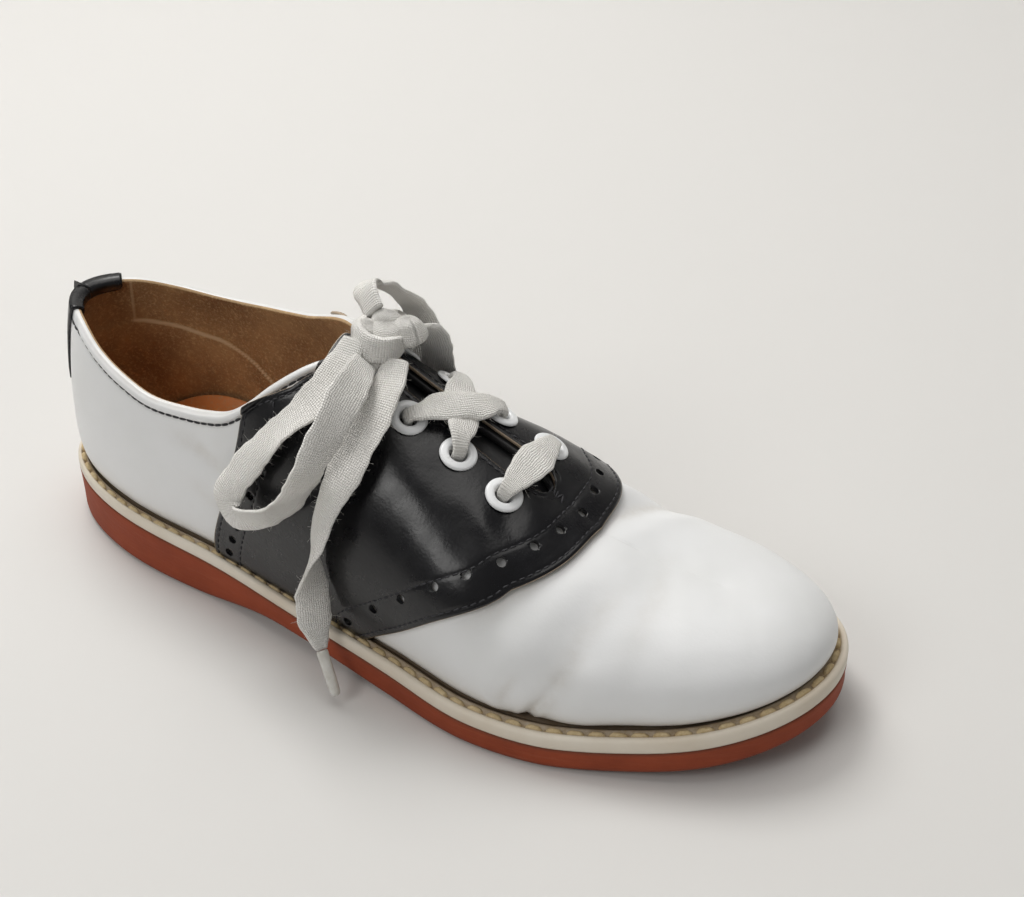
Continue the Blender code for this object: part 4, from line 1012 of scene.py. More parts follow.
# Height of the skin over the last: rolled edge and seam of the collar, creases and low waves.
def skinHeight(base, along, edge, ridgeGirth):
    look = upperLook
    fold, trough = creaseHeight(along, ridgeGirth, creases)
    besideTab = softStep(np.abs(base[..., 1] - form["heelLineY"]), *look["beadFade"])
    open_ = 1 - softStep(along, look["beadEnd"] - 6, look["beadEnd"])
    open_ = open_ * np.where(along < look["tabReach"], besideTab, 1)
    half = look["beadWide"] / 2
    bead = look["beadHigh"] * np.sqrt(np.clip(1 - ((edge - half) / half) ** 2, 0, 1))
    groove = -look["seamDepth"] * np.exp(-(((edge - look["beadWide"] - look["seamBelow"]) / 0.6) ** 2))
    return open_ * (bead + groove) + fold + waves(base, 0.22, 26) + waves(base, 0.05, 8), trough, open_


# Even stations, and a few more where the throat closes.
def upperStations(count):
    even = np.linspace(0, 1, count)
    marks = stationOf(np.array([171.5, 174.8, 176.2, 177.2, 177.7, form["throatEnd"]]))
    return np.unique(np.round(np.concatenate([even, marks]), 7))


# Wall: the last moved out along its normals by the skin's height, and moved in by the wall and the
# seams for the lining; between them half an ellipse, middle + half * cos + up * sin, goes over the edge.
def buildUpper(look):
    t = upperStations(look["stations"])
    along = alongOf(t)
    outerRows = np.concatenate([np.linspace(0, look["denseFrom"], look["outerRows"] - look["denseRows"]),
                                np.linspace(look["denseFrom"], 1, look["denseRows"] + 1)[1:]])
    innerRows = np.linspace(0, 1, look["innerRows"])
    tops = {s: topOf(t, s) for s in (outer, inner)}
    base = {s: lastPoint(t[:, None], outerRows[None] * tops[s][:, None], s) for s in (outer, inner)}
    inside = {s: lastPoint(t[:, None], innerRows[None] * tops[s][:, None], s) for s in (outer, inner)}
    normal, inNormal = sharedNormals(base), sharedNormals(inside)
    out = {}
    closed = along >= form["throatEnd"] - 0.01
    end = int(np.argmax(closed))
    for s in (outer, inner):
        arc, inArc = arcUp(base[s]), arcUp(inside[s])
        edge = arc[:, -1:] - arc
        ridgeGirth = s * (arcUp(lastPoint(t[:, None], np.linspace(0, 1, 60)[None], s))[:, -1:] - arc)
        relief, trough, open_ = skinHeight(base[s], np.broadcast_to(along[:, None], arc.shape), edge,
                                           ridgeGirth)
        height = np.where(edge < 0.01, 0, 1) * (relief - 0.9 * np.exp(-arc / 1.6))
        skin = base[s] + normal[s] * height[..., None]
        lined = np.broadcast_to(along[:, None], inArc.shape)
        level = inside[s][..., 2]
        table = pocketSeam
        pocket = smoothCurve(lined, table["along"], table["high"])
        near = np.where(lined < table["along"][-1] + 2, np.abs(level - pocket), table["off"])
        joint = np.abs(lined - table["backJoint"] - table["jointLean"] * (level - 60))
        joint = joint + table["off"] * (level < pocket)
        seam = np.maximum(np.exp(-((near / table["seamWide"]) ** 2)) * softStep(lined, *table["start"]),
                          0.6 * np.exp(-((joint / table["jointWide"]) ** 2)))
        inHeight = table["pocketStep"] * softStep(pocket - level, 0, 1.2) * (lined < table["along"][-1])
        inHeight += table["seamStep"] * seam + waves(inside[s], 0.25, 14)
        inHeight *= softStep(inArc[:, -1:] - inArc, 0, 1.5)
        lining = inside[s] - inNormal[s] * (form["wall"] + inHeight)[..., None]
        a, b = skin[:, -1], lining[:, -1]
        half = (a - b) / 2
        upWay = unit(base[s][:, -1] - base[s][:, -3])
        upWay = unit(upWay - (upWay * unit(half)).sum(-1, keepdims=True) * unit(half))
        phi = np.linspace(0, math.pi, look["rollRows"] + 2)[1:-1]
        middle = (a + b) / 2
        roll = (middle[:, None] + half[:, None] * np.cos(phi)[None, :, None]
                + upWay[:, None] * look["rollHigh"] * np.linalg.norm(half, axis=-1)[:, None, None]
                * np.sin(phi)[None, :, None])
        straight = middle[:, None] + half[:, None] * np.cos(phi)[None, :, None]
        roll[end:] = straight[end:]
        grid = np.concatenate([skin, roll, lining[:, ::-1]], 1)
        zero = np.zeros(roll.shape[:2])
        # Darkening mask of the white: painted shade in a band along the foot of the wall by the welt and in the
        # crease troughs; darker also along the collar seam's groove and at the rim.
        nearFoot = np.exp(-arc / 2.2) * 0.8
        seamDarkening = 0.5 * open_ * np.exp(-((edge - look["beadWide"] - look["seamBelow"]) / 0.6) ** 2)
        grimeAndShade = np.clip(0.55 * trough + nearFoot + seamDarkening, 0, 1)
        grimeAndShade += 0.35 * np.exp(-edge / 0.5) * open_
        out[s] = {
            "along": along, "skin": skin, "normal": normal[s], "edge": edge, "grid": grid,
            "grimeAndShade": np.concatenate([grimeAndShade, zero + 0.3, zero[:, :1] + np.zeros_like(inArc)], 1),
            "seam": np.concatenate([np.zeros_like(arc), zero + 0.5, seam[:, ::-1]], 1),
        }
    return out, end


# Rows run up the outside, over the edge, down the lining and back to the start, so that each side is closed.
def makeUpper(look):
    sides, end = buildUpper(look)
    points, white, suede, black, values, count = [], [], [], [], {"grimeAndShade": [], "seam": []}, 0
    for s in (outer, inner):
        grid = sides[s]["grid"]
        rows, columns = grid.shape[:2]
        faces = gridFaces(rows, columns, flip=(s == inner), ringColumns=True).reshape(rows - 1, columns, 4)
        skin, roll = sides[s]["skin"].shape[1], look["rollRows"]
        keep = np.ones(faces.shape[:2], bool)
        keep[end:, skin - 1:skin + roll] = False
        isWhite = np.zeros(columns, bool)
        isWhite[:skin + roll // 2] = True
        along = sides[s]["along"][:-1, None]
        rim = np.zeros(columns, bool)
        rim[skin - dyedThroat["below"]:skin + roll + dyedThroat["inside"]] = True
        dyed = rim[None] & (along > dyedThroat["along"][0]) & (along < dyedThroat["along"][1])
        white.append(faces[keep & isWhite[None] & ~dyed] + count)
        suede.append(faces[keep & ~isWhite[None] & ~dyed] + count)
        black.append(faces[keep & dyed] + count)
        points.append(grid.reshape(-1, 3))
        for key in values:
            values[key].append(sides[s][key].reshape(-1))
        count += rows * columns
    values = {key: np.concatenate(v) for key, v in values.items()}
    piece = makePiece("upper", np.concatenate(points),
                      [np.concatenate(white), np.concatenate(suede), np.concatenate(black)],
                      [finish["white"], finish["suede"], finish["tongue"]], replaces=["upper"], values=values)
    return piece, sides


upperPiece, upperSides = makeUpper(upperLook)
print("upper made with", len(upperPiece.data.polygons), "faces")


# Saddle: black leather over the upper, with punched holes and rows of stitches

saddleLook = {
    "partUp": (0, 0.15, 0.3, 0.5, 0.75, 1), "rear": (75.6, 77, 79.4, 84, 88.5, 90.3),
    "front": (132.7, 148, 160, 175, 189.5, 196), "columns": 170, "rows": 96,
    "lift": 0.75, "thick": 1.3, "holeRadius": 1.4, "eyeletHole": 3.3,
    "topAlong": (80, 92, 98, 104, 108, 112, 174, 178), "topBelow": (0.2, 0.5, 3.2, 6.0, 5.0, 0.8, 0.6, 0.0),
    "stitchIn": (1.7, 10.6), "grooveDeep": 0.16, "grooveWide": 0.55,
    # distance along and from the ridge, on both sides
    "frontHoles": ((128, 80.4), (139, 66), (148.9, 55.4), (158.7, 45.7), (166.4, 37.8), (174, 29.2),
                   (180.4, 19.2), (185, 9.9)),
    "topHole": (188.5, 0.0),
    # distance along and part of the wall's height
    "rearHoles": ((82.4, 0.075), (84.6, 0.18), (87.4, 0.28), (90.6, 0.375), (94.2, 0.46), (98.5, 0.55),
                  (103.6, 0.64)),
}
eyeletPlaces = {"along": (167.5, 151.5, 135.5, 120.0), "half": (13.0, 11.2, 11.2, 9.6)}
fineT, fineV = np.linspace(0, 1, 401), np.linspace(0, 1, 161)
girthTable, topTable = {}, {}
for flank in (outer, inner):
    climb = arcUp(lastPoint(fineT[:, None], fineV[None], flank))
    girthTable[flank] = climb[:, -1:] - climb
    topTable[flank] = topOf(fineT, flank)


# Distance from the ridge over the surface, read from the even table between its four nearest entries.
def girthOf(t, v, side):
    a, b = np.clip(t, 0, 1) * (len(fineT) - 1), np.clip(v, 0, 1) * (len(fineV) - 1)
    i, j = np.minimum(a.astype(int), len(fineT) - 2), np.minimum(b.astype(int), len(fineV) - 2)
    a, b, table = a - i, b - j, girthTable[side]
    return ((1 - a) * (1 - b) * table[i, j] + a * (1 - b) * table[i + 1, j]
            + (1 - a) * b * table[i, j + 1] + a * b * table[i + 1, j + 1])


# Distances in mm from each point of a grid to the nearest point of a line.
def distanceTo(grid, line):
    flat = grid.reshape(-1, 3)
    square = (flat**2).sum(1)[:, None] + (line**2).sum(1)[None] - 2 * flat @ line.T
    return np.sqrt(np.clip(square.min(1), 0, None)).reshape(grid.shape[:2])


# Both faces of a sheet and the rim along its open edges; the second copy of the points follows the first.
def shellFaces(faces, count):
    edges = np.concatenate([faces[:, [k, (k + 1) % 4]] for k in range(4)])
    edges = edges[edges[:, 0] != edges[:, 1]]
    _, first, times = np.unique(np.sort(edges, 1), axis=0, return_index=True, return_counts=True)
    rim = edges[first[times == 1]]
    return np.concatenate([faces, faces[:, ::-1] + count,
                           np.stack([rim[:, 1], rim[:, 0], rim[:, 0] + count, rim[:, 1] + count], -1)])


# Joins both sides' grids where they meet, and gives one sheet of points with its faces.
def joinSides(grids, extras):
    points = np.concatenate([grids[s].reshape(-1, 3) for s in (outer, inner)])
    rows, columns = grids[outer].shape[:2]
    faces = np.concatenate([gridFaces(rows, columns), gridFaces(rows, columns, flip=True) + rows * columns])
    first, inverse = weldIndex(points, 2)
    joined = [np.concatenate([e[s].reshape(rows * columns, -1) for s in (outer, inner)])[first] for e in extras]
    return points[first], inverse[faces], joined, inverse


# Columns in even parts of the distance between rear and front edge, rows from the foot to the top edge.
def saddleGrid(side, look):
    s = np.concatenate([[0, 0.002, 0.005], np.linspace(0, 1, look["columns"])[1:-1], [0.995, 0.998, 1]])
    v = np.concatenate([np.linspace(0, 0.94, look["rows"] - 16), np.linspace(0.94, 1, 17)[1:]])
    rear, front = (stationOf(lookUp(look, edge, v, "partUp")) for edge in ("rear", "front"))
    rearAlong, frontAlong = alongOf(rear), alongOf(front)
    along = rearAlong[None] + s[:, None] * (frontAlong - rearAlong)[None]
    t = stationOf(along)
    top = np.interp(t, fineT, topTable[side])
    whole = np.interp(t, fineT, girthTable[side][:, 0])
    below = np.interp(along, look["topAlong"], look["topBelow"])
    height = v[None] * (top - below / whole * (along < 178))
    return along, t, height, top


# Both faces are the last moved out along its normals: by lift and skin below, and above also by thickness
# and relief, which sinks by exp(-(distance / width)^2) at the edges and under each row of stitches.
def buildSaddle(look):
    grids, outputs = {}, {}
    for side in (outer, inner):
        along, t, height, top = saddleGrid(side, look)
        base = lastPoint(t, height, side)
        grids[side] = base
        girth = girthOf(t, height, side)
        edge = girth - girthOf(t, top, side)
        fromFront = distanceTo(base, base[-1])
        fromRear = distanceTo(base, base[0])
        open_ = along[:, -1] < 176
        fromTop = np.where(along < 177, distanceTo(base, base[open_, -1]), 99)
        skin = skinHeight(base, along, edge, side * girth)[0]
        near = np.minimum(np.minimum(fromFront, fromRear), fromTop)
        relief = -0.4 * np.exp(-((near / 0.45) ** 2))
        for far in look["stitchIn"]:
            for line in (fromFront, fromRear):
                relief -= look["grooveDeep"] * np.exp(-(((line - far) / look["grooveWide"]) ** 2))
        relief -= look["grooveDeep"] * np.exp(-(((fromTop - 1.7) / look["grooveWide"]) ** 2))
        band = np.minimum(fromFront, fromRear)
        relief += 0.10 * np.exp(-(((band - 6.2) / 3.0) ** 2))
        relief -= 0.5 * np.exp(-((girthOf(t, height * 0, side) - girth) / 1.6))
        for along0, girth0, deep, wide in saddleDents:
            relief += deep * np.exp(-(((along - along0) / wide) ** 2) - ((side * girth - girth0) / wide) ** 2)
        outputs[side] = {
            "high": look["lift"] + look["thick"] + relief + skin, "low": look["lift"] + skin * 0.98,
            "raw": 0.75 * np.exp(-((near / 0.22) ** 2)), "front": fromFront, "rear": fromRear, "top": fromTop,
            "along": along,
        }
    normals = sharedNormals(grids)
    for side in (outer, inner):
        out = outputs[side]
        out["normal"] = normals[side]
        out["outerFace"] = grids[side] + normals[side] * out["high"][..., None]
        out["innerFace"] = grids[side] + normals[side] * out["low"][..., None]
    return grids, outputs


# Soft swells and dents of the saddle: distance along and from the ridge (outer side below zero), height, reach
saddleDents = (
    (176, -12, 0.5, 5.0), (171, -20, -0.5, 5.0), (172, -5, 0.6, 4.0), (166, -24, 0.4, 5.0),
    (160, -30, -0.35, 7.0), (128, -20, 0.45, 4.0), (131, -25, -0.45, 3.0), (150, -20, -0.4, 5.0),
    (144, -26, 0.35, 6.0), (120, -34, -0.5, 11.0), (176, 14, 0.5, 5.0), (170, 22, -0.4, 5.0),
    (150, 22, -0.4, 6.0), (126, 26, 0.4, 6.0), (182, -2, -0.3, 3.5),
)


# Place and outward direction of points given by distance along and distance from the ridge.
def wallSpots(along, girth, side):
    t = stationOf(np.asarray(along, float))
    girth = np.asarray(girth, float)
    rows = np.stack([np.interp(t, fineT, girthTable[side][:, j]) for j in range(len(fineV))], -1)
    v = crossing(-rows, -girth, fineV)
    return spotAxes(t, v, side)


# Place on the last and its outward direction, the cross product of small steps in t and v.
def spotAxes(t, v, side):
    e = 1e-3
    lift = np.clip(v, e, 1 - e)
    normal = unit(np.cross(lastPoint(t + e, lift, side) - lastPoint(t - e, lift, side),
                           lastPoint(t, lift + e, side) - lastPoint(t, lift - e, side)) * -side)
    return lastPoint(t, v, side), normal


# Eyelets sit where the wall's distance across from the ridge is the named half width.
def eyeletSpots():
    spots = {}
    for side, label in ((outer, "outer"), (inner, "inner")):
        t = stationOf(np.array(eyeletPlaces["along"]))
        v = np.linspace(0.3, 1, 400)
        wall = lastPoint(t[:, None], v[None], side)
        at = crossing(-np.abs(wall[..., 1] - wall[:, -1:, 1]), -np.array(eyeletPlaces["half"]), v)
        place, axis = spotAxes(t, at, side)
        for k in range(len(t)):
            spots[label + str(k + 1)] = (place[k], axis[k])
    return spots


# One cutter of round bars, each from low to high along its own axis.
def roundBars(name, places, axes, radius, low, high, sides):
    aside = unit(np.cross(axes, (0.2, 0.3, 1.0)))
    third = np.cross(axes, aside)
    angle = np.linspace(0, 2 * math.pi, sides, endpoint=False)
    spoke = np.cos(angle)[None, :, None] * aside[:, None] + np.sin(angle)[None, :, None] * third[:, None]
    rings = places[:, None, None] + axes[:, None, None] * np.array([low, high])[None, :, None, None]
    rings = rings + radius * spoke[:, None]
    mesh = bpy.data.meshes.new(name)
    faces = []
    for k in range(len(places)):
        start = k * 2 * sides
        faces += (gridFaces(2, sides, ringColumns=True)[:, ::-1] + start).tolist()
        faces += [list(range(start + sides - 1, start - 1, -1)), list(range(start + sides, start + 2 * sides))]
    mesh.from_pydata((rings.reshape(-1, 3) * mm).tolist(), [], faces)
    if signedVolume(mesh) < 0:
        mesh.flip_normals()
    bars = bpy.data.objects.new(name, mesh)
    bpy.context.scene.collection.objects.link(bars)
    return bars


# The sheet with its rim, then the punched holes and the eyelet holes, cut with round bars.
def makeSaddle(look):
    grids, outputs = buildSaddle(look)
    parts = {key: {s: outputs[s][key] for s in (outer, inner)} for key in ("outerFace", "innerFace", "raw")}
    _, faces, (high, low, raw), _ = joinSides(grids, [parts["outerFace"], parts["innerFace"], parts["raw"]])
    points = np.concatenate([high, low])
    values = {"raw": np.concatenate([raw[:, 0], np.ones(len(low))])}
    piece = makePiece("saddle", points, shellFaces(faces, len(high)), [finish["black"]], replaces=["saddle"],
                      values=values, weld=False)
    places, axes = [], []
    for side in (outer, inner):
        spots = wallSpots(*np.array(look["frontHoles"]).T, side)
        rear = np.array(look["rearHoles"]).T
        t = stationOf(rear[0])
        more = spotAxes(t, rear[1] * np.interp(t, fineT, topTable[side]), side)
        spots = [np.concatenate(pair) for pair in zip(spots, more)]
        places.append(spots[0])
        axes.append(spots[1])
    spot = wallSpots([look["topHole"][0]], [look["topHole"][1]], outer)
    places, axes = np.concatenate(places + [spot[0]]), np.concatenate(axes + [spot[1]])
    bars = roundBars("punch", places, axes, look["holeRadius"], -3.0, 6.0, 16)
    drill(piece, bars)
    bpy.data.objects.remove(bars)
    spots = eyeletSpots()
    places, axes = (np.array([spots[key][k] for key in spots]) for k in (0, 1))
    bars = roundBars("eyeletPunch", places, axes, look["eyeletHole"], -8.0, 8.0, 24)
    drill(piece, bars)
    drill(upperPiece, bars)
    bpy.data.objects.remove(bars)
    return outputs, spots


saddleSides, eyeletAt = makeSaddle(saddleLook)
print("saddle made")


# Stitches on leather: a groove's line read off the grids

# Points and normals where values cross a target along a grid's first axis (rising values), one for each column.
def contour(grid, normals, values, target):
    at = crossing(values.T, target, np.arange(float(values.shape[0])))
    i = np.clip(at.astype(int), 0, values.shape[0] - 2)
    part = (at - i)[:, None]
    column = np.arange(values.shape[1])
    return ((1 - part) * grid[i, column] + part * grid[i + 1, column],
            unit((1 - part) * normals[i, column] + part * normals[i + 1, column]))


seamLook = {
    "saddle": {"long": 2.05, "wide": 0.27, "lift": 0.1, "dip": 0.3, "sides": 6, "flat": 0.8, "pitch": 2.5,
               "wander": 0.04},
    "collar": {"long": 2.95, "wide": 0.4, "lift": 0.12, "dip": 0.35, "sides": 6, "flat": 0.8, "pitch": 2.75,
               "wander": 0.04},
    "tack": {"long": 3.4, "wide": 0.34, "lift": 0.15, "dip": 0.4, "sides": 6, "flat": 0.8, "wander": 0.25},
    # the top seam: its span along, distance from the edge, and how far the rear rows stay below that edge
    "topSpan": (93, 176), "topInset": 1.7, "clearOfTop": 1.8, "collarEnd": 108.5,
    "rearStations": 60, "topColumns": 60,  # the parts of the grid that are searched for the rear and top lines
    "tackAt": ((177.5, 0.4), (178.5, 0.1), (179.5, 0.5), (180.6, 0.2), (181.5, 0.6)),
}


# Stitches at even steps along lines at fixed distances from the saddle's edges and from the collar.
def makeSeams(look):
    rows, collar = [], []
    far = saddleLook["stitchIn"]
    for inset in far:
        line, ways = [], []
        for side, order in ((outer, 1), (inner, -1)):
            out = saddleSides[side]
            half = len(out["front"]) // 3
            place, normal = contour(out["outerFace"][half:], out["normal"][half:], -out["front"][half:], -inset)
            line.append(place[::order])
            ways.append(normal[::order])
        rows.append(evenly(np.concatenate(line), np.concatenate(ways), look["saddle"]["pitch"]))
    for side in (outer, inner):
        out = saddleSides[side]
        face, way, fromRear, fromTop = (out[key][:look["rearStations"]]
                                        for key in ("outerFace", "normal", "rear", "top"))
        for inset in far:
            place, normal = contour(face, way, fromRear, inset)
            spare = contour(np.repeat(fromTop[..., None], 3, 2), way, fromRear, inset)[0][:, 0]
            keep = spare > look["clearOfTop"]
            rows.append(evenly(place[keep], normal[keep], look["saddle"]["pitch"]))
        tops = out["along"][:, -1]
        keep = (tops > look["topSpan"][0]) & (tops < look["topSpan"][1])
        face, way, fromTop = (out[key][keep][:, look["topColumns"]:].swapaxes(0, 1)
                              for key in ("outerFace", "normal", "top"))
        rows.append(evenly(*contour(face, way, -fromTop, -look["topInset"]), look["saddle"]["pitch"]))
        wall = upperSides[side]
        keep = wall["along"] < look["collarEnd"]
        skin, normal, edge = (wall[key][keep].swapaxes(0, 1) for key in ("skin", "normal", "edge"))
        collar.append(contour(skin, normal, -edge, -(upperLook["beadWide"] + upperLook["seamBelow"])))
    makeStitches("saddleStitches", rows, look["saddle"], finish["blackThread"])
    line = np.concatenate([collar[0][0][::-1], collar[1][0][1:]])
    ways = np.concatenate([collar[0][1][::-1], collar[1][1][1:]])
    makeStitches("collarStitches", [evenly(line, ways, look["collar"]["pitch"])], look["collar"],
                 finish["blackThread"])
    place, normal = wallSpots(*np.array(look["tackAt"]).T, outer)
    place = place + normal * (saddleLook["lift"] + saddleLook["thick"])
    ahead = unit(np.cross(normal, (1.0, 0.1, -0.3)))
    makeStitches("throatTack", [(place, ahead, normal)], look["tack"], finish["blackThread"])


makeSeams(seamLook)
print("stitches made")


# Tongue, heel tab

tongueLook = {
    "along": (109, 112, 120, 140, 165, 188), "half": (17, 20, 21.5, 20, 17, 14), "under": 2.9, "thick": 2.2,
    "rows": 110, "columns": 26, "edgeRows": (109.0, 109.15, 109.5), "span": (110, 188),
}


# Tongue: the last between the half widths on both sides of the ridge, moved in along its normals, its
# open edges sunk by exp(-(distance / 0.6)^2).
def makeTongue(look):
    along = np.concatenate([look["edgeRows"], np.linspace(*look["span"], look["rows"])])
    t = stationOf(along)
    across = np.concatenate([[0, 0.01, 0.03], np.linspace(0.06, 1, look["columns"])])
    v = np.linspace(0.3, 1, 400)
    grids = {}
    for side in (outer, inner):
        wall = lastPoint(t[:, None], v[None], side)
        edge = crossing(-np.abs(wall[..., 1] - wall[:, -1:, 1]), -lookUp(look, "half", along), v)
        grids[side] = lastPoint(t[:, None], 1 - (1 - edge[:, None]) * (1 - across[None]), side)
    normals = sharedNormals(grids)
    high, low, raw = {}, {}, {}
    for side in (outer, inner):
        base = grids[side]
        near = np.minimum(distanceTo(base, base[0]), distanceTo(base, base[:, 0]))
        relief = waves(base, 0.35, 11) - 0.45 * np.exp(-((near / 0.6) ** 2))
        relief = relief - 0.12 * np.exp(-(((near - 2.4) / 0.5) ** 2))
        high[side] = base - normals[side] * (look["under"] - relief)[..., None]
        low[side] = base - normals[side] * (look["under"] + look["thick"] - 0.8 * relief)[..., None]
        raw[side] = 0.75 * np.exp(-((near / 0.25) ** 2))
    _, faces, (high, low, raw), _ = joinSides(grids, [high, low, raw])
    makePiece("tongue", np.concatenate([high, low]), shellFaces(faces, len(high)), [finish["tongue"]],
              replaces=["tongue"], values={"raw": np.concatenate([raw[:, 0], np.ones(len(low))])}, weld=False)


tabLook = {
    # rows up the outside, over the rim and down the inside: distance below the collar, half width,
    # heights of both faces
    "below": (30, 29.7, 26, 22, 18, 14, 10.5, 7, 5, 3.2, 2.2, 1.2, 0.5, 0, 0, 0, 0.3, 0.7, 1.1, 1.6, 2.0, 2.4,
              2.7),
    "half": (6.3, 6.5, 6.7, 7, 7.4, 8, 8.7, 9.5, 10.2, 10.8, 11, 11.2, 11.4, 11.5, 11.5, 11.5, 11.5, 11.5,
             11.3, 11, 10.8, 10.5, 10.3),
    "high": (0.5, 0.95, 1.1, 1.1, 1.1, 1.1, 1.15, 1.2, 1.25, 1.3, 1.3, 1.3, 1.2, 1.0, -1.1, -3.2, -3.5, -3.6,
             -3.6, -3.6, -3.5, -3.3, -2.9),
    "up": (0,) * 12 + (0.6, 1.15, 1.45, 1.15, 0.6) + (0,) * 6,
    "low": (0.2,) * 13 + (0.2, -1.1, -2.4) + (-2.4,) * 7,
    "columns": 41,
}


# The tab is read off the wall by height below the rim and by distance from the heel's middle line.
def makeTab(look):
    across = np.linspace(-1, 1, look["columns"])
    high, low = [], []
    t = np.linspace(0, 0.25, 200)
    for below, half, up, top, under in zip(*(look[key] for key in ("below", "half", "up", "high", "low"))):
        place, way = np.empty((len(across), 3)), np.empty((len(across), 3))
        for side in (outer, inner):
            mine = across * side >= 0
            rim = lastPoint(t, np.interp(t, fineT, topTable[side]), side)
            station = np.interp(np.abs(across[mine]) * half, np.abs(rim[:, 1] - form["heelLineY"]), t)
            v = np.linspace(0, 1, 300)
            wall = lastPoint(station[:, None], v[None], side)[..., 2]
            rimZ = np.interp(station, t, rim[:, 2])
            at = crossing(wall, rimZ - below, v)
            place[mine], normal = spotAxes(station, at, side)
            middle = np.abs(across[mine]) < 1e-6
            normal[middle] = unit(normal[middle] * (1, 0, 1))
            way[mine] = normal
        edge = half * (1 - np.abs(across))
        rounded = 0.35 * np.exp(-((edge / 0.35) ** 2)) + 0.12 * np.exp(-(((edge - 1.6) / 0.45) ** 2))
        sign = 1 if top > under else -1
        high.append(place + way * (top - sign * rounded)[:, None] + (0, 0, up))
        low.append(place + way * under + (0, 0, 0.15 * up))
    high, low = np.array(high), np.array(low)
    rows, columns = high.shape[:2]
    count = rows * columns
    faces = shellFaces(gridFaces(rows, columns), count)
    raw = np.concatenate([np.zeros(count), np.full(count, 0.3)])
    makePiece("heelTab", np.concatenate([high.reshape(-1, 3), low.reshape(-1, 3)]), faces, [finish["black"]],
              replaces=["heel_tab"], values={"raw": raw}, weld=False)


makeTongue(tongueLook)
makeTab(tabLook)
print("tongue and heel tab made")


# Eyelets and the laces through them

eyeletLook = {
    "seat": 2.12, "segments": 48,
    # radius and height over the seat, up the bore and over the flange
    "profile": ((2.6, -4.6), (2.6, -0.4), (2.66, 0.2), (2.85, 0.62), (3.2, 0.92), (3.6, 1.02), (4.0, 0.98),
                (4.4, 0.94), (4.85, 0.9), (5.2, 0.72), (5.45, 0.42), (5.5, 0.12), (5.4, 0.0), (3.1, 0.0),
                (3.1, -4.6)),
}


# Each eyelet is the closed profile turned about its own axis: middle + radius * spoke + height * axis.
def makeEyelets(look, spots):
    radius, high = np.array(look["profile"]).T
    angle = np.linspace(0, 2 * math.pi, look["segments"], endpoint=False)
    points, faces = [], []
    one = gridFaces(len(radius), len(angle), ringRows=True, ringColumns=True)
    for k, (middle, axis) in enumerate(spots.values()):
        aside = unit(np.cross(axis, (1.0, 0, 0)))
        spoke = np.cos(angle)[:, None] * aside + np.sin(angle)[:, None] * np.cross(axis, aside)
        ring = middle + radius[:, None, None] * spoke[None] + (high + look["seat"])[:, None, None] * axis
        faces.append(one + k * len(radius) * len(angle))
        points.append(ring.reshape(-1, 3))
    nodes = ["eyelet_" + side + "_" + str(k) for side in ("outer", "inner") for k in (1, 2, 3, 4)]
    makePiece("eyelets", np.concatenate(points), np.concatenate(faces), [finish["enamel"]], replaces=nodes,
              sharp=50)


barLook = {"seat": 2.35, "high": 1.1, "gap": 0.3, "sink": 2.6, "rise": 1.9, "turnIn": 3.0, "turnUp": 1.1,
           "shoulder": 1.2, "arch": 1.5}


# Route of a lace over the throat, the same as the solid's, its ends a little deeper in the bores.
def barRoute(start, end, lift, hump, look):
    (a, axisA), (b, axisB) = start, end
    over = look["seat"] + look["high"] + look["gap"] + 0.8 + lift
    inward = unit(b - a)
    mean = unit(axisA + axisB)
    shoulder = mean * (over + look["shoulder"] + 0.8 * hump)
    turnIn = inward * look["turnIn"]
    route = np.array([
        a + axisA * (look["seat"] - look["sink"]), a + axisA * (look["seat"] + look["rise"]),
        a + axisA * (over + look["turnUp"]) + turnIn, a * 0.66 + b * 0.34 + shoulder,
        (a + b) / 2 + mean * (over + look["arch"] + hump), a * 0.34 + b * 0.66 + shoulder,
        b + axisB * (over + look["turnUp"]) - turnIn, b + axisB * (look["seat"] + look["rise"]),
        b + axisB * (look["seat"] - look["sink"])])
    return route, np.tile(np.cross(mean, inward), (len(route), 1))


# Several tubes as one piece.
def joinParts(name, parts, replaces, material="cotton"):
    count, points, faces, uv = 0, [], [], []
    for part in parts:
        points.append(part[0])
        faces.append(part[1] + count)
        uv.append(part[2])
        count += len(part[0])
    return makePiece(name, np.concatenate(points), np.concatenate(faces), [finish[material]], replaces=replaces,
                     uv=np.concatenate(uv))


crossWide = (3.4, 4.2, 7.2, 9.8, 10.5, 9.8, 7.2, 4.2, 3.4)
crossThick = (2.2, 2.2, 1.8, 1.5, 1.5, 1.5, 1.8, 2.2, 2.2)


def makeBars():
    for name, pairs, node in (("laceBar", (("outer1", "inner1", 0.0, 0.0),), "lace_bar"),
                              ("laceCross", (("outer3", "inner2", 0.0, 1.3), ("outer2", "inner3", 0.5, 0.0)),
                               "lace_cross")):
        parts = []
        for start, end, lift, hump in pairs:
            route, across = barRoute(eyeletAt[start], eyeletAt[end], lift, hump, barLook)
            parts.append(laceTube(route, across, crossWide, crossThick, laceLook, cup=0.8))
        joinParts(name, parts, [node])


makeEyelets(eyeletLook, eyeletAt)
makeBars()
print("eyelets and lace bars made")


# Knot: folded lumps, the band wrapped round them, and the strands from the top eyelets

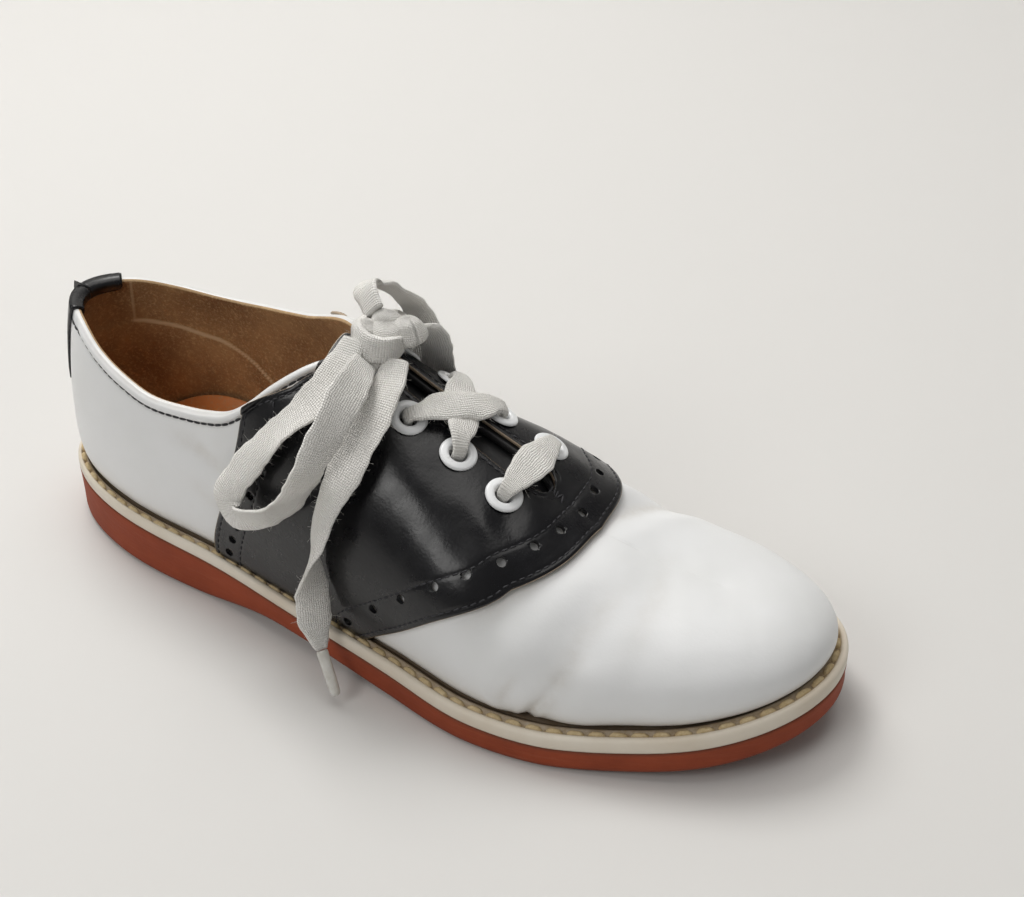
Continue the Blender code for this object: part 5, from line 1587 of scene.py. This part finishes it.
knotLook = {
    "middle": (-8.0, -0.6, 93.6),
    # each lump: offset from the middle, half sizes, turn about z and tilt about y in degrees,
    # count and depth of folds
    "lumps": (
        ((0, 0, 0), (6.3, 6.8, 4.9), 0, 0, 3, 0.05),
        ((-5.0, -3.0, 1.2), (4.6, 4.2, 3.8), 20, 15, 2, 0.06),
        ((5.2, 3.0, 1.4), (5.0, 4.8, 4.2), -25, -10, 2, 0.07),
        ((-1.6, 2.8, 3.2), (4.4, 3.6, 3.0), 30, 20, 2, 0.05),
    ),
    # the band goes round over the front of the knot
    "band": ((-7.6, 0.6, 2.2), (-7.2, -3.6, 2.0), (-4.8, -7.4, 1.6), (-0.6, -8.9, 1.0), (3.4, -7.2, 0.4),
             (5.2, -3.0, -0.4), (4.6, 1.0, -1.6)),
    "bandWay": ((0.1, 0.3, 1.0),) * 7,
    "bandWide": (5.4, 6.8, 8.2, 8.4, 7.8, 6.6, 5.4), "bandThick": (1.8, 2.3, 2.9, 3.0, 2.7, 2.1, 1.6),
    "strandWide": (3.4, 4.4, 6.4, 8.0, 6.0), "strandThick": (2.2, 2.0, 1.8, 2.0, 3.0),
}


# A lump: superellipsoid of power 0.85 with folds, its radius times
# 1 + depth * sin(2 * folds * rise + slow phase).
def lump(middle, half, turn, tilt, folds, depth, rows=26, columns=48):
    rise = np.linspace(-math.pi / 2, math.pi / 2, rows)[:, None]
    angle = np.linspace(0, 2 * math.pi, columns, endpoint=False)[None]
    phase = random.uniform(0, 6.28)
    crease = 1 + depth * np.sin(folds * rise * 2 + 0.8 * np.sin(angle + phase) + phase) * np.cos(rise) ** 0.6
    ball = np.stack([np.cos(rise) * np.cos(angle), np.cos(rise) * np.sin(angle), np.sin(rise) + 0 * angle], -1)
    ball = np.sign(ball) * np.abs(ball) ** 0.85 * crease[..., None] * np.array(half)
    a, b = math.radians(turn), math.radians(tilt)
    spin = (np.array([[math.cos(a), -math.sin(a), 0], [math.sin(a), math.cos(a), 0], [0, 0, 1]])
            @ np.array([[math.cos(b), 0, math.sin(b)], [0, 1, 0], [-math.sin(b), 0, math.cos(b)]]))
    points = ball @ spin.T + np.array(middle)
    uv = np.stack([angle * half[0] + 0 * rise, rise * half[2] * 1.5 + 0 * angle], -1)
    return points.reshape(-1, 3), gridFaces(rows, columns, ringColumns=True)[:, ::-1], uv.reshape(-1, 2)


# The lumps, the band round them, and a strand from each top eyelet up into the knot.
def makeKnot(look):
    middle = np.array(look["middle"]) + (0, form["heelLineY"], 0)
    parts = [lump(middle + np.array(offset), half, turn, tilt, folds, depth)
             for offset, half, turn, tilt, folds, depth in look["lumps"]]
    parts.append(laceTube(middle + np.array(look["band"]), np.array(look["bandWay"]), look["bandWide"],
                          look["bandThick"], laceLook, cup=0.5))
    for label in ("outer", "inner"):
        start, axis = eyeletAt[label + "4"]
        inward = unit(middle - start)
        route = np.array([start + axis * (barLook["seat"] - barLook["sink"]),
                          start + axis * (barLook["seat"] + 1.2),
                          start + axis * (barLook["seat"] + 3.2) + inward * 2.2,
                          start + (middle - start) * 0.55 + axis * 2.0, middle])
        parts.append(laceTube(route, np.tile(np.cross(axis, inward), (5, 1)), look["strandWide"],
                              look["strandThick"], laceLook, cup=0.6))
    joinParts("laceKnot", parts, ["lace_knot"])


makeKnot(knotLook)
print("knot made")


# Hairs of the laces: thin three-sided threads standing off their edges

fuzzLook = {"count": 1100, "long": (0.5, 1.9), "thick": 0.035}


# Hairs at random points of the laces: place + way * step + bend * step^2, with a triangle carried along.
def makeFuzz(look, names):
    places, ways = [], []
    for name in names:
        mesh = bpy.data.objects[name].data
        co, no = np.empty(len(mesh.vertices) * 3), np.empty(len(mesh.vertices) * 3)
        mesh.vertices.foreach_get("co", co)
        mesh.vertex_normals.foreach_get("vector", no)
        co, no = co.reshape(-1, 3) / mm, no.reshape(-1, 3)
        pick = random.integers(0, len(co), int(look["count"] * len(co) / 12000) + 40)
        places.append(co[pick])
        ways.append(no[pick])
    place, way = np.concatenate(places), np.concatenate(ways)
    n = len(place)
    way = unit(way + random.normal(0, 0.5, (n, 3)))
    bend = random.normal(0, 0.45, (n, 3))
    long = random.uniform(*look["long"], n)[:, None]
    steps = np.array([-0.15, 0.35, 0.7, 1.0])
    line = place[:, None] + way[:, None] * (steps[None, :, None] * long[:, None])
    line = line + bend[:, None] * (steps**2)[None, :, None] * long[:, None]
    aside = unit(np.cross(way, random.normal(0, 1, (n, 3))))
    third = np.cross(way, aside)
    angle = np.array([0, 2.094, 4.189])
    thin = look["thick"] * np.array([1.0, 0.9, 0.7, 0.25])
    ring = np.cos(angle)[None, :, None] * aside[:, None] + np.sin(angle)[None, :, None] * third[:, None]
    points = line[:, :, None] + ring[:, None] * thin[None, :, None, None]
    one = gridFaces(4, 3, ringColumns=True)
    faces = (one[None] + (np.arange(n) * 12)[:, None, None]).reshape(-1, 4)
    makePiece("laceFuzz", points.reshape(-1, 3), faces, [finish["cottonHair"]], weld=False)


makeFuzz(fuzzLook, ["laceLoopOuter", "laceEndOuter", "laceLoopInner", "laceBar", "laceCross", "laceKnot"])
print("lace hairs made")
